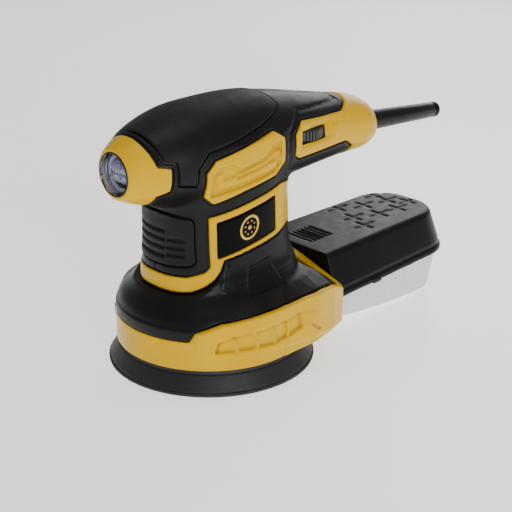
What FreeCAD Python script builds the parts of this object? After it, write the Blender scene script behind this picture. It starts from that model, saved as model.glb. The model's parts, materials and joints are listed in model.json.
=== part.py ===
"""Corded random-orbit sander with a palm handle, a five-inch pad and a rear dust box.

Frame: +Z up, nose and switch towards -X, cord exit towards +X. The origin is the centre of the
pad's sanding face, with the pad at rest; the motor axis stands one orbit radius towards -X.
"""
import FreeCAD
import Part
import math
import os
import re

import Sketcher

V = FreeCAD.Vector
doc = FreeCAD.newDocument("OrbitalSander")

# ---------------------------------------------------------------- driving dimensions (mm, degrees)
SIZES = {
    "orbit_radius": 1.25,
    # pad
    "pad_radius": 62.5,
    "pad_waist": 56.0,
    "hook_top": 1.6,
    "foam_top": 11.5,
    "rim_top": 13.2,
    "plate_radius": 44.0,
    "plate_top": 16.5,
    "centre_radius": 9.0,
    "hole_circle": 32.5,
    "hole_radius": 4.5,
    "hole_count": 8,
    # drive below the motor
    "spindle_radius": 6.0,
    "flange_top": 19.9,
    "bearing_radius": 14.0,
    "bearing_width": 8.0,
    "bearing_base": 20.0,
    "eccentric_radius": 18.2,
    "eccentric_top": 38.0,
    "fan_seat": 10.0,
    "fan_base": 38.5,
    "fan_top": 47.0,
    "fan_radius": 37.0,
    "fan_blades": 11,
    "weight_radius": 34.0,
    "weight_angle": 160.0,
    # motor
    "shaft_radius": 5.0,
    "core_shaft_radius": 6.0,
    "shaft_tip_radius": 4.0,
    "lower_race": 49.5,
    "lower_race_radius": 13.0,
    "core_base": 66.0,
    "core_top": 99.0,
    "armature_radius": 19.5,
    "armature_slots": 12,
    "stator_bore": 20.2,
    "stator_radius": 28.0,
    "commutator_base": 108.0,
    "commutator_top": 119.0,
    "commutator_radius": 11.0,
    "commutator_bars": 16,
    "upper_race": 123.0,
    "upper_race_radius": 11.0,
    "brush_height": 113.5,
    # shells
    "skin": 1.6,
    "wall": 3.4,
    "nose_end": -67.6,
    "tail_end": 129.0,
    "neck_foot": 50.0,
    "axis_height": 127.0,
    "lens_radius": 11.8,
    "rocker_radius": 8.6,
    "rocker_pivot": -56.0,
    "rocker_half": 6.5,
    "rocker_rest": -7.0,
    # skirt and shoulder
    "skirt_radius": 57.2,
    "skirt_wall": 2.4,
    "skirt_base": 13.8,
    "skirt_top": 31.5,
    "mouth": 67.5,
    # speed dial
    "dial_radius": 17.0,
    "dial_x": 58.0,
    "dial_y": -11.8,
    "dial_base": 127.3,
    "dial_top": 134.0,
    # dust box
    "box_front": 68.3,
    "box_pivot_x": 75.0,
    "box_rim": 26.0,
    "box_tilt": 2.0,
    "box_wall": 2.0,
    "tray_wall": 1.6,
    "port_half": 20.0,
    "port_floor": 17.0,
    "port_roof": 38.0,
    "port_end": 76.0,
    # cord entry
    "cord_radius": 3.6,
    "boot_start": 129.0,
    "boot_height": 120.1,
    "boot_length": 76.5,
    "boot_droop": 3.75,
    "boot_root": 6.8,
    "boot_tip": 4.6,
}

sheet = doc.addObject("Spreadsheet::Sheet", "Sizes")
for row, (alias, amount) in enumerate(SIZES.items(), start=1):
    sheet.set(f"A{row}", alias)
    sheet.set(f"B{row}", str(amount))
    sheet.setAlias(f"B{row}", alias)
doc.recompute()

NODES = {}


def number(text):
    """Value of a formula in the sheet's aliases."""
    return float(sheet.evalExpression(str(text)))


def formula(text):
    """The same formula, as another object of the document refers to it."""
    return re.sub(r"[a-z][a-z_]+", lambda match: "Sizes." + match.group(), str(text))


def bind(item, **formulas):
    """Tie properties to the sheet; a double underscore stands for a dot."""
    for name, text in formulas.items():
        item.setExpression(name.replace("__", "."), formula(text))


def place(item, x="0", y="0", z="0", axis=None, angle="0"):
    """Put an object at a bound position, turned about a fixed axis."""
    if axis is not None:
        item.Placement.Rotation = FreeCAD.Rotation(axis, number(angle))
    for letter, text in (("x", x), ("y", y), ("z", z)):
        item.setExpression(f".Placement.Base.{letter}", formula(text))
    return item


def node(item, name):
    """Name a finished sub-part."""
    item.Label = name
    NODES[name] = item
    return item


# ---------------------------------------------------------------- sketches and bodies
def draw_outline(sketch, points):
    """Closed polygon whose every corner is held by two distances from the sketch origin."""
    corners = [V(number(x), number(y), 0) for x, y in points]
    first = sketch.GeometryCount
    count = len(points)
    for index, corner in enumerate(corners):
        sketch.addGeometry(Part.LineSegment(corner, corners[(index + 1) % count]), False)
    for index, (x, y) in enumerate(points):
        line, after = first + index, first + (index + 1) % count
        sketch.addConstraint(Sketcher.Constraint("Coincident", line, 2, after, 1))
        hold_point(sketch, line, 1, x, y)


def draw_circle(sketch, x, y, radius):
    circle = Part.Circle(V(number(x), number(y), 0), V(0, 0, 1), number(radius))
    line = sketch.addGeometry(circle, False)
    hold_point(sketch, line, 3, x, y)
    held = sketch.addConstraint(Sketcher.Constraint("Radius", line, number(radius)))
    sketch.setExpression(f"Constraints[{held}]", formula(radius))


def hold_point(sketch, line, end, x, y):
    for kind, text in (("DistanceX", x), ("DistanceY", y)):
        held = sketch.addConstraint(Sketcher.Constraint(kind, -1, 1, line, end, number(text)))
        sketch.setExpression(f"Constraints[{held}]", formula(text))


def new_body(name):
    return doc.addObject("PartDesign::Body", name + "_body")


def new_sketch(body, name, plane, offset="0"):
    """Sketch on one of the body's own origin planes, moved along the plane's normal."""
    sketch = body.newObject("Sketcher::SketchObject", name)
    origin = [item for item in body.Origin.OriginFeatures if item.Role == plane]
    sketch.AttachmentSupport = [(origin[0], "")]
    sketch.MapMode = "FlatFace"
    sketch.setExpression(".AttachmentOffset.Base.z", formula(offset))
    return sketch


def turn(body, name, points, angle="360"):
    """Revolve an outline of (radius, height) corners about the body's Z axis."""
    sketch = new_sketch(body, name + "_outline", "XZ_Plane")
    draw_outline(sketch, points)
    feature = body.newObject("PartDesign::Revolution", name + "_turn")
    feature.Profile = sketch
    feature.ReferenceAxis = (sketch, ["V_Axis"])
    feature.Midplane = True
    bind(feature, Angle=angle)
    return feature


def pad(body, name, points, base, top):
    """Raise an outline of (x, y) corners from one height to another."""
    sketch = new_sketch(body, name + "_outline", "XY_Plane", base)
    draw_outline(sketch, points)
    feature = body.newObject("PartDesign::Pad", name + "_pad")
    feature.Profile = sketch
    bind(feature, Length=f"({top}) - ({base})")
    return feature


def pocket(body, name, base, top, circle=None, points=None):
    """Cut a circle (x, y, radius) or an outline downwards from the top height to the base."""
    sketch = new_sketch(body, name + "_outline", "XY_Plane", top)
    if circle:
        draw_circle(sketch, *circle)
    else:
        draw_outline(sketch, points)
    feature = body.newObject("PartDesign::Pocket", name + "_pocket")
    feature.Profile = sketch
    bind(feature, Length=f"({top}) - ({base})")
    return feature


def around(body, feature, count):
    """Repeat a feature about the body's Z axis."""
    pattern = body.newObject("PartDesign::PolarPattern", feature.Name + "_ring")
    pattern.Originals = [feature]
    axis = [item for item in body.Origin.OriginFeatures if item.Role == "Z_Axis"][0]
    pattern.Axis = (axis, [""])
    pattern.Angle = 360
    pattern.setExpression("Occurrences", formula(count))
    body.Tip = pattern
    return pattern


def turned(name, points, x="0", angle="360"):
    """Sub-part that is one revolved outline about a vertical axis at x."""
    body = new_body(name)
    turn(body, name, points, angle)
    place(body, x=x)
    return node(body, name)


# ---------------------------------------------------------------- primitives and booleans
def box(name, low, high):
    """Box between two corners given as formulas."""
    item = doc.addObject("Part::Box", name)
    spans = [f"({b}) - ({a})" for a, b in zip(low, high)]
    bind(item, Length=spans[0], Width=spans[1], Height=spans[2])
    return place(item, *low)


def rod(name, radius, length, x="0", y="0", z="0", axis=None, angle="0"):
    """Cylinder from a point, along Z unless turned."""
    item = doc.addObject("Part::Cylinder", name)
    bind(item, Radius=radius, Height=length)
    return place(item, x, y, z, axis, angle)


def cut(name, base, tool):
    item = doc.addObject("Part::Cut", name)
    item.Base = base
    item.Tool = tool
    return item


def common(name, base, tool):
    item = doc.addObject("Part::Common", name)
    item.Base = base
    item.Tool = tool
    return item


def fuse(name, *items):
    item = doc.addObject("Part::MultiFuse", name)
    item.Shapes = list(items)
    return item


def side_prism(name, points, near="-90", far="90"):
    """Prism across Y of an outline drawn in side view, as (x, z) corners."""
    sketch = doc.addObject("Sketcher::SketchObject", name + "_outline")
    sketch.Placement = FreeCAD.Placement(V(0, number(near), 0), FreeCAD.Rotation(V(1, 0, 0), 90))
    draw_outline(sketch, points)
    return extrude(name, sketch, V(0, 1, 0), f"({far}) - ({near})")


def plan_prism(name, points, base, top):
    """Prism up Z of an outline drawn in plan, as (x, y) corners."""
    sketch = doc.addObject("Sketcher::SketchObject", name + "_outline")
    sketch.Placement = FreeCAD.Placement(V(0, 0, number(base)), FreeCAD.Rotation())
    draw_outline(sketch, points)
    return extrude(name, sketch, V(0, 0, 1), f"({top}) - ({base})")


def extrude(name, sketch, direction, length):
    item = doc.addObject("Part::Extrusion", name)
    item.Base = sketch
    item.DirMode = "Custom"
    item.Dir = direction
    item.Solid = True
    bind(item, LengthFwd=length)
    return item


# ---------------------------------------------------------------- lofted shells
RING_POINTS = 32


def ring_section(name, centre, half_a, half_b, power, across):
    """Closed smooth superellipse, lying in plan or standing across X."""
    points = []
    for index in range(RING_POINTS):
        angle = 2.0 * math.pi * index / RING_POINTS
        a, b = math.cos(angle), math.sin(angle)
        reach = (abs(a / half_a) ** power + abs(b / half_b) ** power) ** (-1.0 / power)
        a, b = a * reach, b * reach
        points.append(centre + (V(0, a, b) if across else V(a, b, 0)))
    curve = Part.BSplineCurve()
    curve.interpolate(points, PeriodicFlag=True)
    item = doc.addObject("Part::Feature", name)
    item.Shape = Part.Wire([curve.toShape()])
    return item


def loft(name, sections, ruled=False):
    item = doc.addObject("Part::Loft", name)
    item.Sections = sections
    item.Solid = True
    item.Ruled = ruled
    return item


# Handle sections along X: x, height of the centre, half width, half height, power.
HANDLE = [
    (number("nose_end"), 127.0, 14.2, 14.2, 2.0),
    (-60.0, 127.4, 20.0, 18.0, 2.0),
    (-45.0, 128.2, 28.5, 22.9, 2.1),
    (-25.0, 129.6, 33.0, 26.7, 2.2),
    (0.0, 130.2, 34.0, 27.9, 2.2),
    (25.0, 129.9, 32.5, 27.9, 2.2),
    (50.0, 128.5, 29.5, 25.7, 2.2),
    (75.0, 126.8, 26.2, 22.3, 2.2),
    (100.0, 125.0, 23.2, 19.0, 2.2),
    (118.0, 122.9, 20.8, 16.6, 2.1),
    (number("tail_end"), 120.9, 15.0, 12.9, 2.0),
]
# Neck sections up Z: height, x of the centre, half length, half width, power.
NECK = [
    (number("neck_foot"), 5.0, 47.4, 34.6, 2.4),
    (62.0, 5.0, 47.0, 34.0, 2.4),
    (75.0, 5.0, 45.5, 33.0, 2.4),
    (95.0, 5.0, 45.0, 32.5, 2.4),
    (131.0, 5.0, 43.0, 31.5, 2.3),
]
# Shoulder sections up Z, in the same order as the neck's.
SHOULDER = [
    (number("skirt_top"), 0.0, 56.6, 56.6, 2.0),
    (38.0, 0.0, 56.3, 56.3, 2.0),
    (44.0, 0.8, 54.6, 52.6, 2.05),
    (50.0, 2.6, 51.8, 45.5, 2.2),
    (57.5, 5.0, 49.2, 36.6, 2.4),
]
# Rear deck sections along X: x, half width, height at the sides, height along the middle.
DECK = [
    (-30.0, 45.0, 40.5, 47.0),
    (-19.0, 51.0, 42.6, 49.0),
    (0.0, 54.6, 43.9, 50.4),
    (16.0, 55.4, 44.4, 50.6),
    (35.0, 54.7, 44.4, 50.6),
    (52.0, 50.4, 42.6, 50.6),
    (number("mouth - 1.5"), 44.2, 36.2, 50.2),
]


def shell_layer(name, inset):
    """Handle and neck as one solid, drawn in all round by an inset."""
    sections = []
    for index, (x, height, wide, tall, power) in enumerate(HANDLE):
        end = {0: inset, len(HANDLE) - 1: -inset}.get(index, 0.0)
        centre = V(x + end, 0, height)
        label = f"{name}_handle_{index}"
        sections.append(ring_section(label, centre, wide - inset, tall - inset, power, True))
    handle = loft(name + "_handle", sections)
    sections = []
    for index, (height, x, long_half, wide, power) in enumerate(NECK):
        label = f"{name}_neck_{index}"
        centre = V(x, 0, height)
        sections.append(ring_section(label, centre, long_half - inset, wide - inset, power, False))
    return fuse(name, handle, loft(name + "_neck", sections))


def gable_section(name, x, half, sides, ridge):
    """Section across X with upright sides and a shallow roof, standing at the skirt's top."""
    low = number("skirt_top")
    corners = [V(x, -half, low), V(x, -half, sides), V(x, 0, ridge), V(x, half, sides), V(x, half, low)]
    item = doc.addObject("Part::Feature", name)
    item.Shape = Part.makePolygon(corners + corners[:1])
    return item


def shoulder_layer(name, inset):
    """Dome and rear deck as one solid, drawn in by an inset."""
    sections = []
    for index, (height, x, long_half, wide, power) in enumerate(SHOULDER):
        label = f"{name}_dome_{index}"
        centre = V(x, 0, height)
        sections.append(ring_section(label, centre, long_half - inset, wide - inset, power, False))
    dome = loft(name + "_dome", sections)
    sections = [gable_section(f"{name}_deck_{index}", x, half - inset, sides - inset, ridge - inset)
                for index, (x, half, sides, ridge) in enumerate(DECK)]
    deck = loft(name + "_deck", sections, True)
    return fuse(name, dome, deck)


# ---------------------------------------------------------------- pad
def dust_holes(body, name, base, top):
    hole = pocket(body, name + "_hole", base, top, circle=("hole_circle", "0", "hole_radius"))
    around(body, hole, "hole_count")


def make_pad():
    for name, points, top in (
        ("hook_face", [("centre_radius", "0"), ("pad_radius", "0"), ("pad_radius", "hook_top"),
                       ("centre_radius", "hook_top")], "hook_top"),
        ("pad_foam", [("centre_radius", "hook_top"), ("pad_radius - 0.2", "hook_top"),
                      ("pad_waist", "foam_top"), ("centre_radius", "foam_top")], "foam_top"),
        ("backing_plate", [("3.05", "foam_top"), ("pad_waist", "foam_top"),
                           ("pad_waist - 0.6", "rim_top"), ("plate_radius + 1", "rim_top"),
                           ("plate_radius", "plate_top"), ("3.05", "plate_top")], "plate_top"),
    ):
        body = new_body(name)
        turn(body, name, points)
        dust_holes(body, name, "-1", top + " + 1")
        node(body, name)
    turned("pad_spindle", [
        ("3.05", "plate_top"), ("11", "plate_top"), ("11", "flange_top"),
        ("spindle_radius", "flange_top"), ("spindle_radius", "36.4"), ("5.2", "37.2"),
        ("0", "37.2"), ("0", "30"), ("3.05", "30")])
    body = new_body("pad_screw")
    turn(body, "pad_screw", [
        ("0", "7.6"), ("6.4", "7.6"), ("7", "8.2"), ("7", "foam_top"), ("3", "foam_top"),
        ("3", "28"), ("0", "28")])
    hexagon = [(f"{3 * math.cos(k):.3f}", f"{3 * math.sin(k):.3f}")
               for k in (math.radians(60 * step) for step in range(6))]
    pocket(body, "pad_screw_key", "7", "10", points=hexagon)
    node(body, "pad_screw")


# ---------------------------------------------------------------- rotor
def race_outline(bore, radius, base, width):
    """Ball bearing with its shields set in from both faces."""
    top = f"{base} + {width}"
    low_shield, high_shield = f"{base} + 0.6", f"{top} - 0.6"
    inner, outer = f"{bore} + 2", f"{radius} - 2"
    return [(bore, base), (inner, base), (inner, low_shield), (outer, low_shield), (outer, base),
            (radius, base), (radius, top), (outer, top), (outer, high_shield),
            (inner, high_shield), (inner, top), (bore, top)]


def make_winding(name, bore, shoulder, radius, base, top):
    """Both end turns of one winding, below and above its core, about the motor axis."""
    ends = []
    for index, (low, high) in enumerate(((base, "core_base - 0.02"), ("core_top + 0.02", top))):
        body = new_body(f"{name}_{index}")
        turn(body, f"{name}_{index}", [
            (bore, low), (shoulder, low), (radius, f"({low}) + 1.7"), (radius, f"({high}) - 1.7"),
            (shoulder, high), (bore, high)])
        ends.append(place(body, x="-orbit_radius"))
    node(fuse(name + "_set", *ends), name)


def make_rotor():
    axis = "-orbit_radius"
    body = new_body("eccentric_hub")
    turn(body, "eccentric_hub", [
        ("0", "bearing_base"), ("eccentric_radius", "bearing_base"),
        ("eccentric_radius", "eccentric_top"), ("fan_seat", "eccentric_top"),
        ("fan_seat", "fan_top"), ("0", "fan_top")])
    pocket(body, "race_seat", "19", "bearing_base + 2 * bearing_width",
           circle=("orbit_radius", "0", "bearing_radius + 0.02"))
    pocket(body, "clip_room", "19", "37.8", circle=("orbit_radius", "0", "9"))
    pocket(body, "shaft_bore", "38.4", "fan_top + 1", circle=("0", "0", "shaft_radius + 0.02"))
    place(body, x=axis)
    node(body, "eccentric_hub")

    for name, base in (("pad_bearing_lower", "bearing_base"),
                       ("pad_bearing_upper", "bearing_base + bearing_width")):
        turned(name, race_outline("spindle_radius + 0.05", "bearing_radius", base, "bearing_width"))
    turned("bearing_retainer", [("12", "18.8"), ("16.8", "18.8"), ("16.8", "19.95"), ("12", "19.95")])

    inner = "eccentric_radius + 0.02"
    body = new_body("counterweight")
    turn(body, "counterweight", [(inner, "30"), ("weight_radius", "30"), ("weight_radius", "38"),
                                 (inner, "38")], "weight_angle")
    place(body, x=axis, axis=V(0, 0, 1), angle="180")
    node(body, "counterweight")

    body = new_body("cooling_fan")
    turn(body, "cooling_fan", [
        ("fan_seat + 0.02", "fan_base"), ("fan_radius", "fan_base"), ("fan_radius", "fan_base + 1.6"),
        ("14", "fan_base + 1.6"), ("14", "fan_top"), ("fan_seat + 0.02", "fan_top")])
    blade = pad(body, "fan_blade", [("15", "-0.8"), ("fan_radius - 1", "3.2"),
                                    ("fan_radius - 1", "4.8"), ("13.5", "0.8")],
                "fan_base + 1.5", "fan_top")
    around(body, blade, "fan_blades")
    place(body, x=axis)
    node(body, "cooling_fan")

    turned("motor_shaft", [
        ("0", "38.5"), ("shaft_radius", "38.5"), ("shaft_radius", "60"), ("core_shaft_radius", "60"),
        ("core_shaft_radius", "core_top + 7"), ("shaft_radius", "core_top + 7"),
        ("shaft_radius", "121"), ("shaft_tip_radius", "121"), ("shaft_tip_radius", "132"),
        ("0", "132")], axis)
    turned("lower_bearing", race_outline("shaft_radius + 0.02", "lower_race_radius", "lower_race",
                                         "bearing_width"), axis)
    turned("upper_bearing", race_outline("shaft_tip_radius + 0.02", "upper_race_radius",
                                         "upper_race", "7"), axis)

    body = new_body("armature_core")
    bore = "core_shaft_radius + 0.02"
    turn(body, "armature_core", [(bore, "core_base"), ("armature_radius", "core_base"),
                                 ("armature_radius", "core_top"), (bore, "core_top")])
    slot = pocket(body, "armature_slot", "core_base - 1", "core_top + 1", points=[
        ("11", "-1.6"), ("armature_radius - 1.2", "-2.4"), ("armature_radius - 1.2", "-0.9"),
        ("armature_radius + 1", "-0.9"), ("armature_radius + 1", "0.9"),
        ("armature_radius - 1.2", "0.9"), ("armature_radius - 1.2", "2.4"), ("11", "1.6")])
    around(body, slot, "armature_slots")
    place(body, x=axis)
    node(body, "armature_core")
    make_winding("armature_windings", bore, "15", "17.6", "60.5", "core_top + 6.5")

    body = new_body("commutator")
    bore = "shaft_radius + 0.02"
    turn(body, "commutator", [(bore, "commutator_base"), ("commutator_radius + 1", "commutator_base"),
                              ("commutator_radius + 1", "commutator_base + 1.6"),
                              ("commutator_radius", "commutator_base + 1.6"),
                              ("commutator_radius", "commutator_top"), (bore, "commutator_top")])
    slit = pocket(body, "commutator_slit", "commutator_base + 1.6", "commutator_top + 1", points=[
        ("commutator_radius - 1.2", "-0.25"), ("commutator_radius + 1", "-0.25"),
        ("commutator_radius + 1", "0.25"), ("commutator_radius - 1.2", "0.25")])
    around(body, slit, "commutator_bars")
    place(body, x=axis)
    node(body, "commutator")


# ---------------------------------------------------------------- fixed motor parts
def make_stator():
    axis = "-orbit_radius"
    body = new_body("motor_bracket")
    seat, lip = "lower_race_radius + 0.05", "lower_race + bearing_width + 0.3"
    turn(body, "motor_bracket", [
        (seat, "49"), ("16.5", "49"), ("16.5", "55"), ("30", "55"), ("30", "59.4"), ("8", "59.4"),
        ("8", lip), (seat, lip)])
    window = pocket(body, "bracket_window", "54", "60", circle=("23", "0", "4.2"))
    around(body, window, "6")
    place(body, x=axis)
    node(body, "motor_bracket")

    body = new_body("stator_core")
    turn(body, "stator_core", [("stator_bore", "core_base"), ("stator_radius", "core_base"),
                               ("stator_radius", "core_top"), ("stator_bore", "core_top")])
    key = pocket(body, "stator_key", "core_base - 1", "core_top + 1",
                 circle=("stator_radius - 2.6", "0", "1.3"))
    around(body, key, "4")
    place(body, x=axis)
    node(body, "stator_core")
    make_winding("field_coils", "stator_bore + 0.6", "25.5", "27.2", "60.6", "core_top + 6.4")
    turned("bearing_cup", [
        ("upper_race_radius + 0.05", "upper_race - 0.4"), ("13.2", "upper_race - 0.4"),
        ("13.2", "132.8"), ("9", "132.8"), ("9", "upper_race + 7.2"),
        ("upper_race_radius + 0.05", "upper_race + 7.2")], axis)
    turned("dust_baffle", [("20.5", "26.5"), ("53.4", "26.5"), ("53.4", "28.5"), ("24", "28.5"),
                           ("20.5", "27.6")], axis)
    turned("pad_brake_ring", [("50.8", "14.2"), ("53.4", "14.2"), ("53.4", "18.4"), ("51.8", "18.4")],
           axis)

    for side, turned_by in (("left", "-90"), ("right", "90")):
        sign = "-" if side == "left" else ""

        def across(name, low, high, half):
            ends = sorted((f"{sign}({low})", f"{sign}({high})"), key=number)
            return box(name, (f"{axis} - ({half})", ends[0], f"brush_height - ({half})"),
                       (f"{axis} + ({half})", ends[1], f"brush_height + ({half})"))

        holder = cut(f"holder_{side}", across(f"holder_block_{side}", "12.5", "26", "4.6"),
                     across(f"holder_room_{side}", "11", "24.8", "3.3"))
        node(holder, f"brush_holder_{side}")
        face = cut(f"brush_face_{side}", across(f"brush_block_{side}", "10", "18", "3.2"),
                   rod(f"brush_arc_{side}", "commutator_radius + 0.05", "20", x=axis, z="100"))
        node(face, f"carbon_brush_{side}")
        node(make_spring(f"spring_{side}", number(f"{sign}1")), f"brush_spring_{side}")


def make_spring(name, side):
    """Compression spring behind a brush, as a round wire wound along Y."""
    wire_radius, coil_radius, pitch, length = 0.35, 2.3, 1.7, 5.6
    helix = Part.makeHelix(pitch, length, coil_radius)
    start = Part.Circle(V(coil_radius, 0, 0), V(0, coil_radius, pitch / (2 * math.pi)), wire_radius)
    coil = Part.Wire(helix).makePipeShell([Part.Wire([start.toShape()])], True, True)
    coil.rotate(V(0, 0, 0), V(1, 0, 0), -90 * side)
    coil.translate(V(number("-orbit_radius"), 18.6 * side, number("brush_height")))
    item = doc.addObject("Part::Feature", name)
    item.Shape = coil
    return item


# ---------------------------------------------------------------- handle, neck and their skins
NOSE = [(-90, 80), (-57, 80), (-54, 111), (-54, 115.8), (-48.3, 119), (-48.3, 132.5),
        (-54.8, 133.6), (-57, 144.6), (-57.6, 170), (-90, 170)]
TAIL = [(105, 170), (105, 143.5), (89, 138.6), (67, 139.7), (48, 141.3), (40, 134.6),
        (40, 122), (44.7, 118.9), (64.4, 119.2), (90, 120), (99, 114.5), (96, 90), (150, 90),
        (150, 170)]
GRIP = [(-54, 170), (-53.6, 146), (-51.7, 135.4), (-46, 134.6), (-45.3, 122), (-34.2, 119.6),
        (-34.2, 129.6), (-26.6, 137.8), (-5, 141), (14.4, 145.2), (29.2, 149), (35, 151.5),
        (34, 170)]
INSERT = [(-27.4, 111.2), (-29.5, 126.5), (-23.4, 132.9), (21.5, 141.2), (29.7, 136.2),
          (30.4, 121.1), (22.9, 114.2), (-1.2, 110.4), (-21.5, 105.9)]
LABEL = [(-19.6, 74), (23.1, 81.4), (23.1, 101.9), (-19.6, 94.7)]
BAND = [(-70, 57.4), (-40, 55.6), (-34, 56.2), (-28, 58.6), (-22.5, 61.6), (-18.6, 66), (-16, 71.9),
        (23, 77.4), (36, 80.6), (60, 85), (60, 103), (30, 108), (-24.4, 98.8), (-24.4, 69.4),
        (-27, 67), (-35, 64.4), (-70, 64.2)]
FRONT_GRIP = [(-70, 110.5), (-36, 99), (-32.5, 98.4), (-31, 96.2), (-31, 73), (-33, 70.6),
              (-70, 66)]
SCREWS = [(-38.0, 111.0), (60.0, 110.5), (88.0, 113.2), (43.5, 148.5)]
RIBS = [(70.0, 73.0, "stator_radius + 0.05"), (94.0, 97.0, "stator_radius + 0.05"),
        (124.5, 129.5, "13.25")]


def make_shells():
    outer = shell_layer("outer", 0.0)
    middle = shell_layer("middle", number("skin"))
    inner = shell_layer("inner", number("wall"))
    halves = {
        "left": box("left_half", ("-100", "-60", "0"), ("160", "0", "200")),
        "right": box("right_half", ("-100", "0", "0"), ("160", "60", "200")),
    }
    skin = cut("skin_layer", outer, middle)
    lens_bore = rod("lens_bore", "lens_radius", "14", x="-74", z="axis_height", axis=V(0, 1, 0),
                    angle="90")
    boot_bore = rod("boot_bore", "boot_root + 0.2", "20", x="115", z="boot_height + 0.4",
                    axis=V(0, 1, 0), angle="90 + boot_droop")
    dial_slot = box("dial_slot", ("dial_x - 10.2", "-60", "dial_base - 0.5"),
                    ("dial_x + 12", "dial_y", "dial_top + 0.5"))
    dial_room = box("dial_room", ("dial_x - 13.4", "-60", "dial_base - 0.5"),
                    ("dial_x + 14.8", "dial_y", "dial_top + 0.5"))

    regions = {name: side_prism(name + "_region", points) for name, points in (
        ("nose", NOSE), ("tail", TAIL), ("grip", GRIP), ("insert", INSERT), ("label", LABEL),
        ("band", BAND), ("front", FRONT_GRIP))}

    node(cut("nose_cut", common("nose_skin", skin, regions["nose"]), lens_bore), "nose_cap")
    openings = fuse("tail_openings", boot_bore, dial_slot)
    node(cut("tail_cut", common("tail_skin", skin, regions["tail"]), openings), "tail_cap")
    node(common("grip_skin", skin, regions["grip"]), "top_grip")
    node(common("front_skin", skin, regions["front"]), "front_grip")
    band = cut("band_frame", regions["band"], regions["label"])
    node(common("band_skin", skin, band), "neck_band")
    make_pair("side_insert", common("insert_skin", skin, regions["insert"]), halves["left"], [], [])
    make_pair("label", common("label_skin", skin, regions["label"]), halves["left"], [], [])

    # Structure: the inner wall with its ribs and screw bosses. The outer layer that no other
    # skin covers is the hard cover over it.
    ribs = []
    for index, (low, high, bore) in enumerate(RIBS):
        plate = box(f"rib_plate_{index}", ("-36", "-40", low), ("34", "40", high))
        hole = rod(f"rib_bore_{index}", bore, "20", x="-orbit_radius", z=f"{low} - 5")
        ribs.append(cut(f"rib_{index}", plate, hole))
    bosses, shank_bores, head_bores, screws = [], [], [], []
    for index, (x, z) in enumerate(SCREWS):
        def along(name, radius, start, length):
            return rod(f"{name}_{index}", radius, length, x=str(x), y=start, z=str(z),
                       axis=V(1, 0, 0), angle="-90")
        bosses.append(along("boss", "4.6", "-40", "80"))
        shank_bores.append(along("shank_bore", "1.7", "-13", "26"))
        head_bores.append(along("head_bore", "3.4", "9", "40"))
        screws += [along("shank", "1.65", "-12.5", "21.5"), along("head", "3.1", "9", "3.2")]
    rooting = shell_layer("rooting", number("(skin + wall) / 2"))
    fittings = common("fittings", rooting, fuse("ribs_and_bosses", *ribs, *bosses))
    structure = fuse("wall_body", cut("inner_wall", middle, inner), fittings)
    cover = skin
    for name, region in regions.items():
        cover = cut(f"cover_less_{name}", cover, region)
    both = [lens_bore, boot_bore, *shank_bores]
    make_pair("housing", structure, halves["left"], both + [dial_room], both + head_bores)
    make_pair("cover", cover, halves["left"], [], head_bores)
    node(fuse("screw_set", *screws), "housing_screws")
    return outer


def make_pair(name, whole, left_half, left_openings, right_openings):
    """Left half of a shell and its mirror image, each with openings of its own."""
    left = common(name + "_left_blank", whole, left_half)
    right = doc.addObject("Part::Mirroring", name + "_right_blank")
    right.Source = left
    right.Base = V(0, 0, 0)
    right.Normal = V(0, 1, 0)
    for side, shape, openings in (("left", left, left_openings), ("right", right, right_openings)):
        for opening in openings:
            shape = cut(f"{name}_{side}_less_{opening.Name}", shape, opening)
        node(shape, f"{name}_{side}")


def make_nose():
    """Clear domed dust boot over the rocker switch."""
    axis_height, lens = "axis_height", "lens_radius"
    dome_centre, dome_radius = "-40.4", "30"
    parts = []
    for name, radius, reach, start in (("lens_out", lens + " - 0.1", dome_radius, "-71.5"),
                                       ("lens_in", lens + " - 1.3", "28.8", "-71.4")):
        ball = doc.addObject("Part::Sphere", name + "_ball")
        bind(ball, Radius=reach)
        place(ball, x=dome_centre, z=axis_height)
        tube = rod(name + "_tube", radius, "7" if name == "lens_out" else "9", x=start,
                   z=axis_height, axis=V(0, 1, 0), angle="90")
        parts.append(common(name, ball, tube))
    node(cut("lens_shell", *parts), "switch_boot")

    half, reach = "rocker_half", "rocker_radius"
    drum = rod("rocker_drum", reach, f"2 * {half}", y=f"-({half})", axis=V(1, 0, 0), angle="-90")
    drum.Placement.Base = V(0, 0, 0)
    place(drum, y=f"-({half})")
    wedge = side_prism("rocker_wedge", [("-12", "0"), ("-7.4", "0"), (f"-({reach})", "6.5"),
                                        (f"-({reach})", "9"), ("9", "9"), ("9", "-9"),
                                        ("0", "-9"), (f"-({reach})", "-9"), (f"-({reach})", "-6.5"),
                                        ("-7.4", "-0.01"), ("-12", "-0.01")])
    back = box("rocker_back", ("1.5", "-20", "-12"), ("12", "20", "12"))
    rocker = cut("rocker_shape", common("rocker_front", drum, wedge), back)
    place(rocker, x="rocker_pivot", z=axis_height, axis=V(0, 1, 0), angle="rocker_rest")
    node(rocker, "switch_rocker")

    block = box("switch_block", ("-62", "-8.6", "axis_height - 9.7"), ("-40", "8.6", "axis_height + 9.7"))
    room = box("switch_room", ("-63", f"-({half}) - 0.4", "axis_height - 9"),
               ("-47", f"{half} + 0.4", "axis_height + 9"))
    node(cut("switch_case", block, room), "switch_body")


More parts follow.
